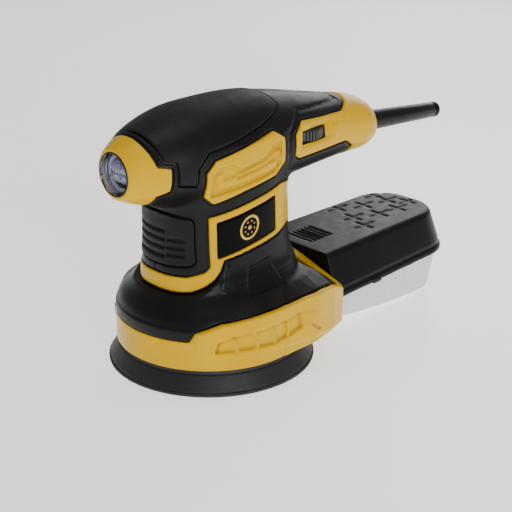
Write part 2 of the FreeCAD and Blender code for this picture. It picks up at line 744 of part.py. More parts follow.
# ---------------------------------------------------------------- tail: speed control and cord entry
def rounded_path(points):
    """Straight runs joined by tangent arcs, each as wide as its two runs allow."""
    edges, start = [], points[0]
    for before, corner, after in zip(points, points[1:], points[2:]):
        back, ahead = (before - corner), (after - corner)
        trim = 0.45 * min(back.Length, ahead.Length)
        back.normalize()
        ahead.normalize()
        entry, leave = corner + back * trim, corner + ahead * trim
        half_turn = (math.pi - back.getAngle(ahead)) / 2.0
        radius = trim / math.tan(half_turn)
        bisector = (back + ahead).normalize()
        middle = corner + bisector * (radius / math.cos(half_turn) - radius)
        edges += [Part.LineSegment(start, entry).toShape(), Part.Arc(entry, middle, leave).toShape()]
        start = leave
    edges.append(Part.LineSegment(start, points[-1]).toShape())
    return Part.Wire(edges)


def make_tail():
    body = new_body("speed_dial")
    turn(body, "speed_dial", [
        ("0", "dial_base"), ("dial_radius - 0.8", "dial_base"), ("dial_radius", "dial_base + 0.8"),
        ("dial_radius", "dial_top - 0.8"), ("dial_radius - 0.8", "dial_top"), ("0", "dial_top")])
    groove = pocket(body, "dial_groove", "dial_base - 1", "dial_top + 1", points=[
        ("dial_radius - 0.9", "-0.3"), ("dial_radius + 1", "-0.7"), ("dial_radius + 1", "0.7"),
        ("dial_radius - 0.9", "0.3")])
    around(body, groove, "48")
    stem = body.newObject("PartDesign::Pad", "dial_stem_pad")
    sketch = new_sketch(body, "dial_stem", "XY_Plane", "dial_base")
    draw_circle(sketch, "0", "0", "2.9")
    stem.Profile = sketch
    stem.Reversed = True
    stem.Length = 6
    body.Tip = stem
    place(body, x="dial_x", y="dial_y")
    node(body, "speed_dial")

    pot = cut("pot_shape", rod("pot_can", "7.5", "8.8", x="dial_x", y="dial_y", z="118.2"),
              rod("pot_bore", "3", "12", x="dial_x", y="dial_y", z="120"))
    node(pot, "speed_regulator")
    node(box("board", ("dial_x - 16", "dial_y - 6.4", "116.4"), ("dial_x + 20", "dial_y + 20", "118.1")),
         "speed_board")

    # Tapered strain relief: a flared flange inside the tail, a neck through its wall and a long taper.
    body = new_body("cord_boot")
    bore, end = "cord_radius", "boot_length"
    turn(body, "cord_boot", [
        ("5.8", "-9"), ("9", "-9"), ("9", "-5"), ("boot_root", "-5"), ("boot_root", "0"),
        ("boot_tip + 0.6", f"{end} - 6"), ("boot_tip + 0.2", f"{end} - 4.4"),
        ("boot_tip + 0.2", f"{end} - 1"),
        ("boot_tip - 0.5", end), (bore, end), (bore, "1"), ("5", "-5")])
    place(body, x="boot_start", z="boot_height", axis=V(0, 1, 0), angle="90 + boot_droop")
    node(body, "cord_boot")

    bar = box("clamp_bar", ("106", "-10.5", "boot_height + 1.6"), ("113", "10.5", "boot_height + 6.6"))
    arch = rod("clamp_arch", "3.9", "30", x="95", z="boot_height + 1.4", axis=V(0, 1, 0), angle="90")
    holes, screws = [], []
    for sign in ("-", ""):
        holes.append(rod(f"clamp_hole{len(holes)}", "1.55", "20", x="109.5", y=f"{sign}7.6",
                         z="boot_height - 5"))
        screws += [rod(f"clamp_shank{len(screws)}", "1.5", "12", x="109.5", y=f"{sign}7.6",
                       z="boot_height - 5.3"),
                   rod(f"clamp_head{len(screws)}", "2.8", "2.2", x="109.5", y=f"{sign}7.6",
                       z="boot_height + 6.65")]
    node(cut("clamp_shape", bar, fuse("clamp_cuts", arch, *holes)), "cord_clamp")
    node(fuse("clamp_screw_set", *screws), "clamp_screws")

    leads = []
    for y in (-2.0, 2.0):
        route = [V(-39.8, y, 131), V(-24, y, 141.5), V(10, y * 1.6, 143.5), V(44, y * 1.6, 139.8),
                 V(74, y, 138), V(92, y, 130), V(104, y, 121.6)]
        path = rounded_path(route)
        ring = Part.Circle(route[0], route[1] - route[0], 1.2)
        leads.append(path.makePipeShell([Part.Wire([ring.toShape()])], True, True))
    item = doc.addObject("Part::Feature", "lead_wires_shape")
    item.Shape = Part.Compound(leads)
    node(item, "lead_wires")


# ---------------------------------------------------------------- skirt, shoulder and dust duct
def skirt_plan(inset):
    """Right-hand side of the skirt's rear block, from the round part to the mouth."""
    side = [(8.0, 57.2), (35.0, 55.9), (52.0, 51.6), (67.5, 44.8)]
    return [(x, y - inset) for x, y in side]


def skirt_solid(name, inset, base, top):
    """Round skirt and rear block together, drawn in by an inset."""
    drum = rod(name + "_drum", f"skirt_radius - ({inset})", f"({top}) - ({base})", z=base)
    side = skirt_plan(inset)
    rear = side + [(x, -y) for x, y in reversed(side)]
    return fuse(name, drum, plan_prism(name + "_rear", rear, base, top))


def make_skirt(outer):
    wall = "skirt_wall"
    ring = cut("skirt_ring", skirt_solid("skirt_out", 0.0, "skirt_base", "54"),
               skirt_solid("skirt_in", number(wall), "skirt_base + 2", "60"))
    pad_room = rod("pad_room", f"skirt_radius - {wall}", "10", z="skirt_base - 4")
    edge = side_prism("skirt_edge", [
        (-70, 10), (80, 10), ("80", "34"), ("mouth", "36.4"), (60, 40.4), (53.5, 43.3), (40, 45.2),
        (23, 45.6), (6.7, 45), (-7.4, 44.9), (-21, 43.7), (-32, 42.3), (-43.5, 37),
        (-45.5, "skirt_top"), (-70, "skirt_top")])
    mouth = plan_prism("mouth_room", [(50, -42.2), (90, -42.2), (90, 42.2), (50, 42.2)],
                       "skirt_base + 2", "60")
    shaped = cut("skirt_shape", common("skirt_trim", ring, edge),
                 fuse("skirt_room", pad_room, mouth))

    deck_out = shoulder_layer("cover_out", 0.0)
    deck_in = shoulder_layer("cover_in", number(wall))
    arch_sections = [gable_section("arch_front", 61.0, 47.6, 39.6, 50.9),
                     gable_section("arch_rear", number("mouth"), 44.75, 36.4, 50.9)]
    hoop = cut("arch_hoop", loft("arch_loft", arch_sections, True), deck_out)
    mouth_sections = [gable_section(f"mouth_{index}", x, 42.2, 34.4, 48.6)
                      for index, x in enumerate((55.0, 70.0))]
    hoop = cut("arch_open", hoop, loft("mouth_loft", mouth_sections, True))
    skirt = fuse("skirt_and_arch", shaped, hoop)
    node(skirt, "skirt")

    cover = cut("cover_shell", deck_out, deck_in)
    cover = cut("cover_neck", cover, outer)
    node(cut("cover_trim", cover, skirt), "shoulder")

    half, low, high = "port_half", "port_floor", "port_roof"
    port = cut("port_tube", box("port_out", ("54.7", f"-{half}", low), ("port_end", half, high)),
               box("port_in", ("50", f"-({half}) + 2", f"{low} + 2"), ("80", f"{half} - 2", f"{high} - 2")))
    node(port, "dust_port")
    seal = cut("seal_ring", box("seal_out", ("65.4", f"-({half}) - 2.2", f"{low} - 1"),
                                ("67.8", f"{half} + 2.2", f"{high} + 2")),
               box("seal_in", ("60", f"-({half})", low), ("80", half, high)))
    node(seal, "port_seal")


# ---------------------------------------------------------------- dust box
def box_section(name, front_half, rear_half, end, corner, height):
    """Plan outline of the box at one height: tapering sides and a rounded far end."""
    start = 55.0
    slope = (front_half - rear_half) / (end - start)
    near = rear_half + slope * corner
    lower = V(start, -front_half, height)
    turn_in, turn_out = V(end - corner, -near, height), V(end, -(rear_half - corner), height)
    bulge = corner * math.sqrt(0.5)
    middle = V(end - corner + bulge, -(rear_half - corner) - bulge, height)

    def flip(point):
        return V(point.x, -point.y, point.z)

    edges = [
        Part.LineSegment(lower, turn_in).toShape(),
        Part.Arc(turn_in, middle, turn_out).toShape(),
        Part.LineSegment(turn_out, flip(turn_out)).toShape(),
        Part.Arc(flip(turn_out), flip(middle), flip(turn_in)).toShape(),
        Part.LineSegment(flip(turn_in), flip(lower)).toShape(),
        Part.LineSegment(flip(lower), lower).toShape(),
    ]
    item = doc.addObject("Part::Feature", name)
    item.Shape = Part.Wire(edges)
    return item


# Dust box sections: height above the rim, half width in front and behind, far end, corner radius.
HOOD = [(0.0, 40.2, 35.2, 190.0, 26.0), (5.0, 39.8, 34.8, 189.4, 26.0), (27.0, 30.4, 28.0, 184.5, 22.0)]
TRAY = [(3.4, 37.8, 32.8, 187.4, 24.0), (0.0, 37.8, 32.8, 187.4, 24.0), (-30.0, 33.4, 28.7, 181.4, 20.3)]
TRAY_FLOOR = [(220, 0.8), (160, 0.8), (140, 1.4), (120, 2.6), (99, 4.9), (82, 7.9), (68, 10.8), (40, 17)]


def box_layer(name, table, inset, top_inset=0.0):
    """Loft of the box sections about the tilted rim, drawn in by an inset."""
    sections = []
    last = len(table) - 1
    for index, (height, front, rear, end, corner) in enumerate(table):
        drop = top_inset if index == last else 0.0
        sections.append(box_section(f"{name}_{index}", front - inset, rear - inset, end - inset,
                                    corner - inset, height + drop))
    item = loft(name, sections, True)
    turned_by = FreeCAD.Rotation(V(0, 1, 0), -number("box_tilt"))
    pivot = V(number("box_pivot_x"), 0, 0)
    item.Placement = FreeCAD.Placement(V(0, 0, number("box_rim")), turned_by, pivot)
    return item


def make_dust_box():
    front = box("box_front_side", ("30", "-70", "-20"), ("box_front", "70", "90"))
    half, low, high = "port_half", "port_floor", "port_roof"
    way_in = box("port_notch", ("60", f"-({half}) - 0.4", f"{low} - 0.4"),
                 ("port_end + 0.5", f"{half} + 0.4", f"{high} + 0.4"))
    wall = number("box_wall")
    room = box_layer("hood_in", [(-1.0, *HOOD[0][1:])] + HOOD[1:], wall, -wall)
    room_front = box("hood_front_wall", ("30", "-70", "-20"), ("box_front + 2", "70", "90"))
    shell = cut("hood_shell", box_layer("hood_out", HOOD, 0.0), cut("hood_room", room, room_front))
    vents = []
    for index in range(6):
        x = 80.0 + 3.4 * index
        vents.append(box(f"vent_{index}", (x, "4", "40"), (x + 1.5, "20", "70")))
    hood = cut("hood_shape", shell, fuse("hood_cuts", front, way_in, *vents))
    node(hood, "dust_box_top")

    thin = number("tray_wall")
    tray_out = box_layer("tray_out", TRAY, 0.0)
    tray_in = box_layer("tray_in", [(4.4, *TRAY[0][1:]), *TRAY[1:]], thin)
    rim = [(x, number(f"box_rim + ({x} - box_pivot_x) * tan(box_tilt * 1deg)")) for x in (60, 70.7)]
    lip_end = side_prism("tray_lip_end", [*rim, (70.7, 40), (60, 40)])
    floor_cut = side_prism("tray_floor", [(40, -20), (220, -20), *TRAY_FLOOR])
    floor_in = side_prism("tray_floor_in", [(40, -20), (220, -20), *((x, z + thin) for x, z in TRAY_FLOOR)])
    room = cut("tray_room", tray_in, fuse("tray_kept", floor_in, box("tray_front_wall", ("30", "-70", "-20"),
                                                                   ("box_front + 1.6", "70", "90"))))
    tray = cut("tray_shell", tray_out, fuse("tray_cuts", room, floor_cut, front, lip_end))
    node(cut("tray_shape", tray, way_in), "dust_tray")

    pleats, count, pitch = [], 12, 5.2
    for index in range(count + 1):
        x = 96.0 + pitch * index
        pleats.append((x, 31.5 if index % 2 else 44.5))
    thickness = 1.4
    outline = pleats + [(x, z + thickness) for x, z in reversed(pleats)]
    node(side_prism("filter_sheet", outline, "-21", "21"), "dust_filter")


# ---------------------------------------------------------------- build, check and write
def check_and_write():
    doc.recompute()
    faults = [item.Name for item in doc.Objects if {"Invalid", "Error"} & set(item.State)]
    for name, item in NODES.items():
        shape = item.Shape
        if shape.isNull() or not shape.isValid() or not shape.Solids:
            faults.append(f"{name}: shape")
        elif shape.Volume <= 0:
            faults.append(f"{name}: volume")
    if faults:
        raise RuntimeError("faults in " + ", ".join(faults))
    os.makedirs("parts", exist_ok=True)
    for name, item in NODES.items():
        item.Shape.exportStep(f"parts/{name}.step")
        print(f"{name}: {item.Shape.Volume / 1000:.2f} cm3, {len(item.Shape.Solids)} solid")


make_pad()
make_rotor()
make_stator()
body_outer = make_shells()
make_nose()
make_tail()
make_skirt(body_outer)
make_dust_box()
check_and_write()
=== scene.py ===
"""Random-orbit sander: shells, pad, dust box, materials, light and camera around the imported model."""
import json
import math

import bpy
import numpy as np
from mathutils import Matrix, Vector


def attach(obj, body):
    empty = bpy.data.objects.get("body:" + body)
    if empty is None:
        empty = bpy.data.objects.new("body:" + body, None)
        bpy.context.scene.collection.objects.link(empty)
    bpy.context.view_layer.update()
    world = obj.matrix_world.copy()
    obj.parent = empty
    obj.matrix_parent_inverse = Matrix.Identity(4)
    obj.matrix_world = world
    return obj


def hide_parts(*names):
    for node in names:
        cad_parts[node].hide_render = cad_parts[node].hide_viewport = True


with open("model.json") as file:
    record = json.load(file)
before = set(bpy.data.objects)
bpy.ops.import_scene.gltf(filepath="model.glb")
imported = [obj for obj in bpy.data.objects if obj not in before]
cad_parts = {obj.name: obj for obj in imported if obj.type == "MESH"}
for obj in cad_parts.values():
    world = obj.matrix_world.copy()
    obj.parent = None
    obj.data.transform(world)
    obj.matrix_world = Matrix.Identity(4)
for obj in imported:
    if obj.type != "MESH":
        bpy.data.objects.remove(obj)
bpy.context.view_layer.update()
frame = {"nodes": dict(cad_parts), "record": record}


STEP = 0.75      # mm between field samples
SKIN = 1.5                              # mm, thickness of a moulded outer panel


# ---------------------------------------------------------------- fields, in millimetres
def smooth_max(a, b, k):
    h = np.clip(0.5 + 0.5 * (a - b) / k, 0.0, 1.0)
    return b * (1.0 - h) + a * h + k * h * (1.0 - h)


def smooth_min(a, b, k):
    return -smooth_max(-a, -b, k)


def outline(points, u, v):
    """Signed distance from a closed outline on the grid u by v, negative inside."""
    grid_u, grid_v = np.meshgrid(u, v, indexing="ij")
    nearest = np.full(grid_u.shape, 1e9)
    inside = np.zeros(grid_u.shape, bool)
    for (ax, ay), (bx, by) in zip(points, points[1:] + points[:1]):
        ex, ey = bx - ax, by - ay
        px, py = grid_u - ax, grid_v - ay
        t = np.clip((px * ex + py * ey) / (ex * ex + ey * ey), 0.0, 1.0)
        nearest = np.minimum(nearest, (px - t * ex) ** 2 + (py - t * ey) ** 2)
        if ay != by:
            inside ^= ((ay > grid_v) != (by > grid_v)) & (grid_u < ax + py * ex / ey)
    return np.where(inside, -1.0, 1.0) * np.sqrt(nearest)


def line(points, u, v):
    """Distance from an open line on the grid u by v."""
    grid_u, grid_v = np.meshgrid(u, v, indexing="ij")
    nearest = np.full(grid_u.shape, 1e9)
    for (ax, ay), (bx, by) in zip(points, points[1:]):
        ex, ey = bx - ax, by - ay
        px, py = grid_u - ax, grid_v - ay
        t = np.clip((px * ex + py * ey) / (ex * ex + ey * ey), 0.0, 1.0)
        nearest = np.minimum(nearest, (px - t * ex) ** 2 + (py - t * ey) ** 2)
    return np.sqrt(nearest)


def groove(distance, width, depth):
    """Relief of a rounded groove (or ridge, for a negative depth) about a line."""
    return -depth * np.exp(-(distance / (0.5 * width)) ** 2)


def step_in(distance, depth, soft=0.35):
    """Relief of a recess: full depth inside an outline, nothing outside it."""
    return -depth / (1.0 + np.exp(np.clip(distance / soft, -30, 30)))


def through(table, at):
    """The columns of a table at given stations, on smooth curves through its rows."""
    table = np.array(table, float)
    knots = table[:, 0]
    place = np.clip(at, knots[0], knots[-1])
    index = np.clip(np.searchsorted(knots, place) - 1, 0, len(knots) - 2)
    span = knots[index + 1] - knots[index]
    t = (place - knots[index]) / span
    columns = []
    for column in table[:, 1:].T:
        slope = np.gradient(column, knots)
        columns.append((2 * t ** 3 - 3 * t ** 2 + 1) * column[index]
                       + (t ** 3 - 2 * t ** 2 + t) * slope[index] * span
                       + (3 * t ** 2 - 2 * t ** 3) * column[index + 1]
                       + (t ** 3 - t ** 2) * slope[index + 1] * span)
    return columns


def ring(a, b, half_a, half_b, power):
    """Distance from a superellipse, near its line."""
    u, v = np.abs(a) / half_a, np.abs(b) / half_b
    level = (u ** power + v ** power + 1e-9) ** (1.0 / power)
    steep = level ** (1.0 - power) * np.hypot(u ** (power - 1.0) / half_a, v ** (power - 1.0) / half_b)
    return (level - 1.0) / np.maximum(steep, 0.4 / np.maximum(half_a, half_b))


class Block:
    """A box of sample points, with x, y and z shaped to broadcast against each other."""

    def __init__(self, low, high, step=STEP):
        self.step = step
        self.axes = [np.arange(a - 2.0 * step, b + 3.0 * step, step) for a, b in zip(low, high)]
        self.x = self.axes[0][:, None, None]
        self.y = self.axes[1][None, :, None]
        self.z = self.axes[2][None, None, :]

    def side(self, points, open_line=False):
        """Outline or line in the side view, on this block's x and z."""
        return (line if open_line else outline)(points, self.axes[0], self.axes[2])[:, None, :]

    def plan(self, points, open_line=False):
        return (line if open_line else outline)(points, self.axes[0], self.axes[1])[:, :, None]

    def level(self, field):
        """The field scaled so that it grows by one per millimetre."""
        steep = np.sqrt(sum(part ** 2 for part in np.gradient(field, self.step)))
        return field / np.clip(steep, 0.35, 3.0)

    def part(self, field, low, high):
        """The piece of this block and its field between two corners."""
        cuts = []
        for axis, a, b in zip(self.axes, low, high):
            first = max(int(np.searchsorted(axis, a - 2.0 * self.step)), 0)
            last = min(int(np.searchsorted(axis, b + 2.0 * self.step)), len(axis))
            cuts.append(slice(first, last))
        small = Block.__new__(Block)
        small.step = self.step
        small.axes = [axis[cut] for axis, cut in zip(self.axes, cuts)]
        small.x = small.axes[0][:, None, None]
        small.y = small.axes[1][None, :, None]
        small.z = small.axes[2][None, None, :]
        return small, field[tuple(cuts)]


def skin_of(block, field):
    """Vertices (mm) and quads of the surface where a field is zero."""
    field = np.broadcast_to(field, [len(axis) for axis in block.axes]).astype(np.float32)
    shape = np.array(field.shape)
    inside = field < 0.0
    low = np.array([axis[0] for axis in block.axes])
    corners = [np.array((i, j, k)) for i in (0, 1) for j in (0, 1) for k in (0, 1)]
    count = np.zeros(shape - 1, np.int8)
    for i, j, k in corners:
        count += inside[i:shape[0] - 1 + i, j:shape[1] - 1 + j, k:shape[2] - 1 + k]
    active = (count > 0) & (count < 8)
    cells = np.argwhere(active)
    number = np.full(active.shape, -1, np.int64)
    number[active] = np.arange(len(cells))

    def at(points):
        return field[points[:, 0], points[:, 1], points[:, 2]]

    total, hits = np.zeros((len(cells), 3)), np.zeros(len(cells))
    for a in corners:
        for axis in range(3):
            if a[axis]:
                continue
            b = a.copy()
            b[axis] = 1
            first, second = at(cells + a), at(cells + b)
            crosses = (first < 0) != (second < 0)
            share = np.where(crosses, first / np.where(crosses, first - second, 1.0), 0.0)
            total += crosses[:, None] * (a + share[:, None] * (b - a))
            hits += crosses
    points = cells + total / hits[:, None]

    quads = []
    for axis in range(3):
        other, last = (axis + 1) % 3, (axis + 2) % 3
        ahead = np.roll(inside, -1, axis) != inside
        edge = [slice(1, -1)] * 3
        edge[axis] = slice(0, -1)
        keep = np.zeros_like(ahead)
        keep[tuple(edge)] = ahead[tuple(edge)]
        start = np.argwhere(keep)
        shift_a, shift_b = np.eye(3, dtype=int)[other], np.eye(3, dtype=int)[last]
        ring_cells = [start, start - shift_a, start - shift_a - shift_b, start - shift_b]
        faces = np.stack([number[c[:, 0], c[:, 1], c[:, 2]] for c in ring_cells], 1)
        flip = ~inside[start[:, 0], start[:, 1], start[:, 2]]
        faces[flip] = faces[flip][:, ::-1]
        quads.append(faces)
    quads = np.concatenate(quads)

    def sample(place):
        place = np.clip(place, 0, shape - 1.001)
        base = place.astype(int)
        part = place - base
        value = np.zeros(len(place))
        for corner in corners:
            weight = np.prod(np.where(corner, part, 1.0 - part), 1)
            value += weight * at(base + corner)
        return value

    for _ in range(3):
        value = sample(points) / block.step
        slope = np.stack([sample(points + 0.5 * unit) - sample(points - 0.5 * unit)
                          for unit in np.eye(3)], 1) / block.step
        move = value[:, None] * slope / np.maximum((slope ** 2).sum(1), 0.05)[:, None]
        points = points - np.clip(move, -0.4, 0.4)
    return points * block.step + low, quads


# ---------------------------------------------------------------- materials
def new_material(name):
    item = bpy.data.materials.new(name)
    item.use_nodes = True
    return item, item.node_tree.nodes, item.node_tree.links, item.node_tree.nodes["Principled BSDF"]


def texture_space(nodes, links, stretch=(1.0, 1.0, 1.0)):
    place = nodes.new("ShaderNodeTexCoord")
    shift = nodes.new("ShaderNodeMapping")
    shift.inputs["Scale"].default_value = stretch
    links.new(place.outputs["Object"], shift.inputs["Vector"])
    return shift.outputs["Vector"]


def noise(nodes, links, space, scale, detail=2.0, rough=0.5):
    item = nodes.new("ShaderNodeTexNoise")
    item.inputs["Scale"].default_value = scale
    item.inputs["Detail"].default_value = detail
    item.inputs["Roughness"].default_value = rough
    links.new(space, item.inputs["Vector"])
    return item.outputs["Fac"]


def spread(nodes, links, value, low, high):
    item = nodes.new("ShaderNodeMapRange")
    item.inputs["From Min"].default_value = 0.3
    item.inputs["From Max"].default_value = 0.7
    item.inputs["To Min"].default_value = low
    item.inputs["To Max"].default_value = high
    links.new(value, item.inputs["Value"])
    return item.outputs["Result"]


def tint(nodes, links, value, dark, light):
    item = nodes.new("ShaderNodeValToRGB")
    item.color_ramp.elements[0].position = 0.3
    item.color_ramp.elements[0].color = (*dark, 1.0)
    item.color_ramp.elements[1].position = 0.7
    item.color_ramp.elements[1].color = (*light, 1.0)
    links.new(value, item.inputs["Fac"])
    return item.outputs["Color"]


def bump(nodes, links, shader, height, distance, strength=1.0):
    item = nodes.new("ShaderNodeBump")
    item.inputs["Strength"].default_value = strength
    item.inputs["Distance"].default_value = distance
    links.new(height, item.inputs["Height"])
    links.new(item.outputs["Normal"], shader.inputs["Normal"])


def moulded(name, dark, light, rough=(0.3, 0.4), grain=900.0, relief=0.00002, stretch=(1, 1, 1),
            metal=0.0, painted_crease_shade=None, **extra):
    """Where a painted crease shade is given, an ambient occlusion node paints that shade into the colour in
    grooves and along steps.
    A crease colour gathers in grooves and along steps."""
    item, nodes, links, shader = new_material(name)
    space = texture_space(nodes, links, stretch)
    cloud = noise(nodes, links, space, 38.0, 3.0)
    fine = noise(nodes, links, space, grain, 2.0)
    colour = tint(nodes, links, cloud, dark, light)
    # Painted shade: the colour is darkened towards the crease colour wherever ambient occlusion finds a groove
    # or step.
    if painted_crease_shade:
        shade = nodes.new("ShaderNodeAmbientOcclusion")
        shade.samples = 8
        shade.inputs["Distance"].default_value = 0.0028
        ramp = nodes.new("ShaderNodeMapRange")
        ramp.inputs["From Min"].default_value = 0.55
        ramp.inputs["From Max"].default_value = 0.95
        links.new(shade.outputs["AO"], ramp.inputs["Value"])
        blend = nodes.new("ShaderNodeMix")
        blend.data_type = "RGBA"
        links.new(ramp.outputs["Result"], blend.inputs[0])
        blend.inputs[6].default_value = (*painted_crease_shade, 1.0)
        links.new(colour, blend.inputs[7])
        colour = blend.outputs[2]
    links.new(colour, shader.inputs["Base Color"])
    links.new(spread(nodes, links, noise(nodes, links, space, 160.0, 4.0), *rough),
              shader.inputs["Roughness"])
    bump(nodes, links, shader, fine, relief)
    shader.inputs["Metallic"].default_value = metal
    for socket, value in extra.items():
        shader.inputs[socket.replace("_", " ")].default_value = value
    return item


def cellular(name, dark, light, scale, relief, rough=(0.75, 0.9)):
    """Open or closed cells, as in foam or hook tape."""
    item, nodes, links, shader = new_material(name)
    space = texture_space(nodes, links)
    cells = nodes.new("ShaderNodeTexVoronoi")
    cells.inputs["Scale"].default_value = scale
    links.new(space, cells.inputs["Vector"])
    links.new(tint(nodes, links, noise(nodes, links, space, 60.0, 4.0), dark, light),
              shader.inputs["Base Color"])
    links.new(spread(nodes, links, noise(nodes, links, space, 300.0), *rough), shader.inputs["Roughness"])
    bump(nodes, links, shader, cells.outputs["Distance"], relief)
    return item


YELLOW_DARK, YELLOW_LIGHT = (0.72, 0.41, 0.0), (0.78, 0.46, 0.0)
BLACK_DARK, BLACK_LIGHT = (0.0040, 0.0040, 0.0046), (0.0060, 0.0060, 0.0067)
DULL = {"Specular_IOR_Level": 0.2}

MATERIALS = {
    # The yellow moulding carries painted shade: dark orange is painted into its grooves and steps.
    "yellow_shell": moulded("yellow_moulding", YELLOW_DARK, YELLOW_LIGHT, (0.26, 0.33), 1400.0, 0.000012,
                            painted_crease_shade=(0.16, 0.07, 0.0), Specular_IOR_Level=0.3,
                            Specular_Tint=(1.0, 0.72, 0.05, 1.0)),
    "black_shell": moulded("black_moulding", BLACK_DARK, BLACK_LIGHT, (0.36, 0.46), 1100.0, 0.00003, **DULL),
    "soft_grip": moulded("soft_grip_rubber", (0.0045, 0.0045, 0.005), (0.007, 0.007, 0.0075), (0.42, 0.54),
                         1600.0, 0.00003, **DULL),
    "label": moulded("gloss_label", (0.003, 0.0025, 0.0025), (0.0045, 0.0035, 0.0035), (0.3, 0.36), 600.0,
                     0.000004, Specular_IOR_Level=0.06),
    "hood": moulded("hood_moulding", BLACK_DARK, BLACK_LIGHT, (0.33, 0.42), 1000.0, 0.00003, **DULL),
    "tray": moulded("milky_tray", (0.88, 0.88, 0.92), (0.93, 0.93, 0.96), (0.28, 0.38), 500.0, 0.00001,
                    Transmission_Weight=0.15, IOR=1.45, Subsurface_Weight=0.3, Subsurface_Scale=0.004),
    "clear_boot": moulded("clear_boot", (0.80, 0.80, 0.90), (0.86, 0.86, 0.94), (0.04, 0.08), 300.0,
                          0.000003, Transmission_Weight=1.0, IOR=1.15),
    "rocker": moulded("rocker_moulding", (0.50, 0.50, 0.57), (0.56, 0.56, 0.63), (0.2, 0.3), 900.0,
                      0.00001),
    "pad_foam": cellular("pad_foam_cells", (0.005, 0.005, 0.0055), (0.008, 0.008, 0.0085), 2400.0, 0.00005,
                         (0.5, 0.6)),
    "hook_face": cellular("hook_tape", (0.02, 0.02, 0.022), (0.035, 0.035, 0.038), 1300.0, 0.0003),
    "backing": moulded("backing_nylon", (0.012, 0.012, 0.013), (0.018, 0.018, 0.019), (0.5, 0.6), 900.0,
                       0.00004),
    "steel": moulded("turned_steel", (0.52, 0.52, 0.53), (0.6, 0.6, 0.61), (0.22, 0.34), 700.0, 0.00001,
                     (1, 1, 9), 1.0),
    "screw_steel": moulded("zinc_steel", (0.45, 0.46, 0.46), (0.55, 0.55, 0.53), (0.25, 0.4), 600.0,
                           0.00001, (1, 1, 1), 1.0),
    "cast_alloy": moulded("die_cast_alloy", (0.55, 0.56, 0.58), (0.64, 0.65, 0.67), (0.35, 0.5), 500.0,
                          0.00006, (1, 1, 1), 1.0),
    "fan_plastic": moulded("fan_nylon", (0.10, 0.10, 0.11), (0.13, 0.13, 0.14), (0.45, 0.55), 800.0, 0.00003),
    "laminations": moulded("stacked_laminations", (0.20, 0.20, 0.22), (0.32, 0.32, 0.34), (0.35, 0.5),
                           300.0, 0.00008, (1, 1, 14), 0.9),
    "copper": moulded("enamelled_copper", (0.50, 0.19, 0.07), (0.66, 0.27, 0.10), (0.25, 0.35), 240.0,
                      0.0003, (1, 1, 10), 0.8),
    "commutator": moulded("copper_segments", (0.60, 0.28, 0.13), (0.72, 0.36, 0.17), (0.25, 0.4), 500.0,
                          0.00002, (1, 1, 8), 1.0),
    "seal": moulded("sealing_rubber", (0.012, 0.012, 0.012), (0.02, 0.02, 0.02), (0.6, 0.75), 700.0, 0.00005),
    "inner_shell": moulded("inner_nylon", (0.006, 0.006, 0.007), (0.01, 0.01, 0.011), (0.5, 0.6), 700.0,
                           0.00005),
    "brass": moulded("drawn_brass", (0.66, 0.46, 0.17), (0.74, 0.54, 0.22), (0.2, 0.35), 500.0, 0.00001,
                     (1, 6, 1), 1.0),
    "carbon": moulded("pressed_carbon", (0.02, 0.02, 0.02), (0.04, 0.04, 0.04), (0.5, 0.7), 900.0, 0.00006),
    "board": moulded("circuit_board", (0.02, 0.12, 0.05), (0.03, 0.17, 0.07), (0.3, 0.5), 500.0, 0.00003),
    "cord_rubber": moulded("cord_rubber", (0.0045, 0.0045, 0.005), (0.007, 0.007, 0.0075), (0.3, 0.4),
                           900.0, 0.00003, **DULL),
    "wire_sheath": moulded("wire_sheath", (0.04, 0.09, 0.36), (0.06, 0.12, 0.44), (0.35, 0.45), 500.0,
                           0.00002),
    "filter_paper": moulded("filter_paper", (0.58, 0.53, 0.40), (0.70, 0.65, 0.52), (0.85, 0.95), 500.0,
                            0.0002),
}
DIAL_GREY = moulded("dial_moulding", (0.028, 0.030, 0.032), (0.040, 0.042, 0.045), (0.3, 0.4), 900.0, 0.00002)
MARK_GREY = moulded("mark_print", (0.50, 0.50, 0.55), (0.58, 0.58, 0.63), (0.3, 0.4), 600.0, 0.000004)
EMBLEM = moulded("emblem_print", (0.74, 0.45, 0.03), (0.80, 0.50, 0.04), (0.28, 0.36), 800.0, 0.000006)


# ---------------------------------------------------------------- making pieces
def build(name, points, faces, material, body, replaced=()):
    mesh = bpy.data.meshes.new(name)
    mesh.from_pydata((np.asarray(points) / 1000.0).tolist(), [], np.asarray(faces).tolist())
    mesh.polygons.foreach_set("use_smooth", np.ones(len(mesh.polygons), bool))
    mesh.materials.append(material)
    mesh.validate()
    piece = bpy.data.objects.new(name, mesh)
    bpy.context.scene.collection.objects.link(piece)
    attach(piece, body)
    if replaced:
        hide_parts(*replaced)
    return piece


def carve(name, block, field, slot, body="machine", replaced=(), material=None):
    points, faces = skin_of(block, field)
    return build(name, points, faces, material or MATERIALS[slot], body, replaced)


def carve_pair(name, block, field, slot, replaced):
    """A piece on the left and its mirror image on the right."""
    points, faces = skin_of(block, field)
    build(name + "_left", points, faces, MATERIALS[slot], "machine", (replaced + "_left",))
    build(name + "_right", points * (1, -1, 1), faces[:, ::-1], MATERIALS[slot], "machine",
          (replaced + "_right",))


def lathe(name, profile, turns, place, slot, body="machine", replaced=(), material=None):
    """Surface of revolution of (along, radius) rings about an axis frame."""
    angles = np.arange(turns) * 2.0 * math.pi / turns
    points, faces = [], []
    for along, radius in profile:
        for angle in angles:
            points.append(place @ Vector((radius * math.cos(angle), radius * math.sin(angle), along)))
    rows = len(profile)
    for row in range(rows):
        after = (row + 1) % rows
        for index in range(turns):
            turn = (index + 1) % turns
            faces.append((row * turns + index, row * turns + turn, after * turns + turn,
                          after * turns + index))
    return build(name, np.array([tuple(p) for p in points]), faces, material or MATERIALS[slot], body,
                 replaced)


def along_x(x, y, z, droop=0.0):
    """Axis frame whose local z runs along +x, turned down by a droop."""
    return Matrix.Translation((x, y, z)) @ Matrix.Rotation(math.radians(90.0 + droop), 4, "Y")


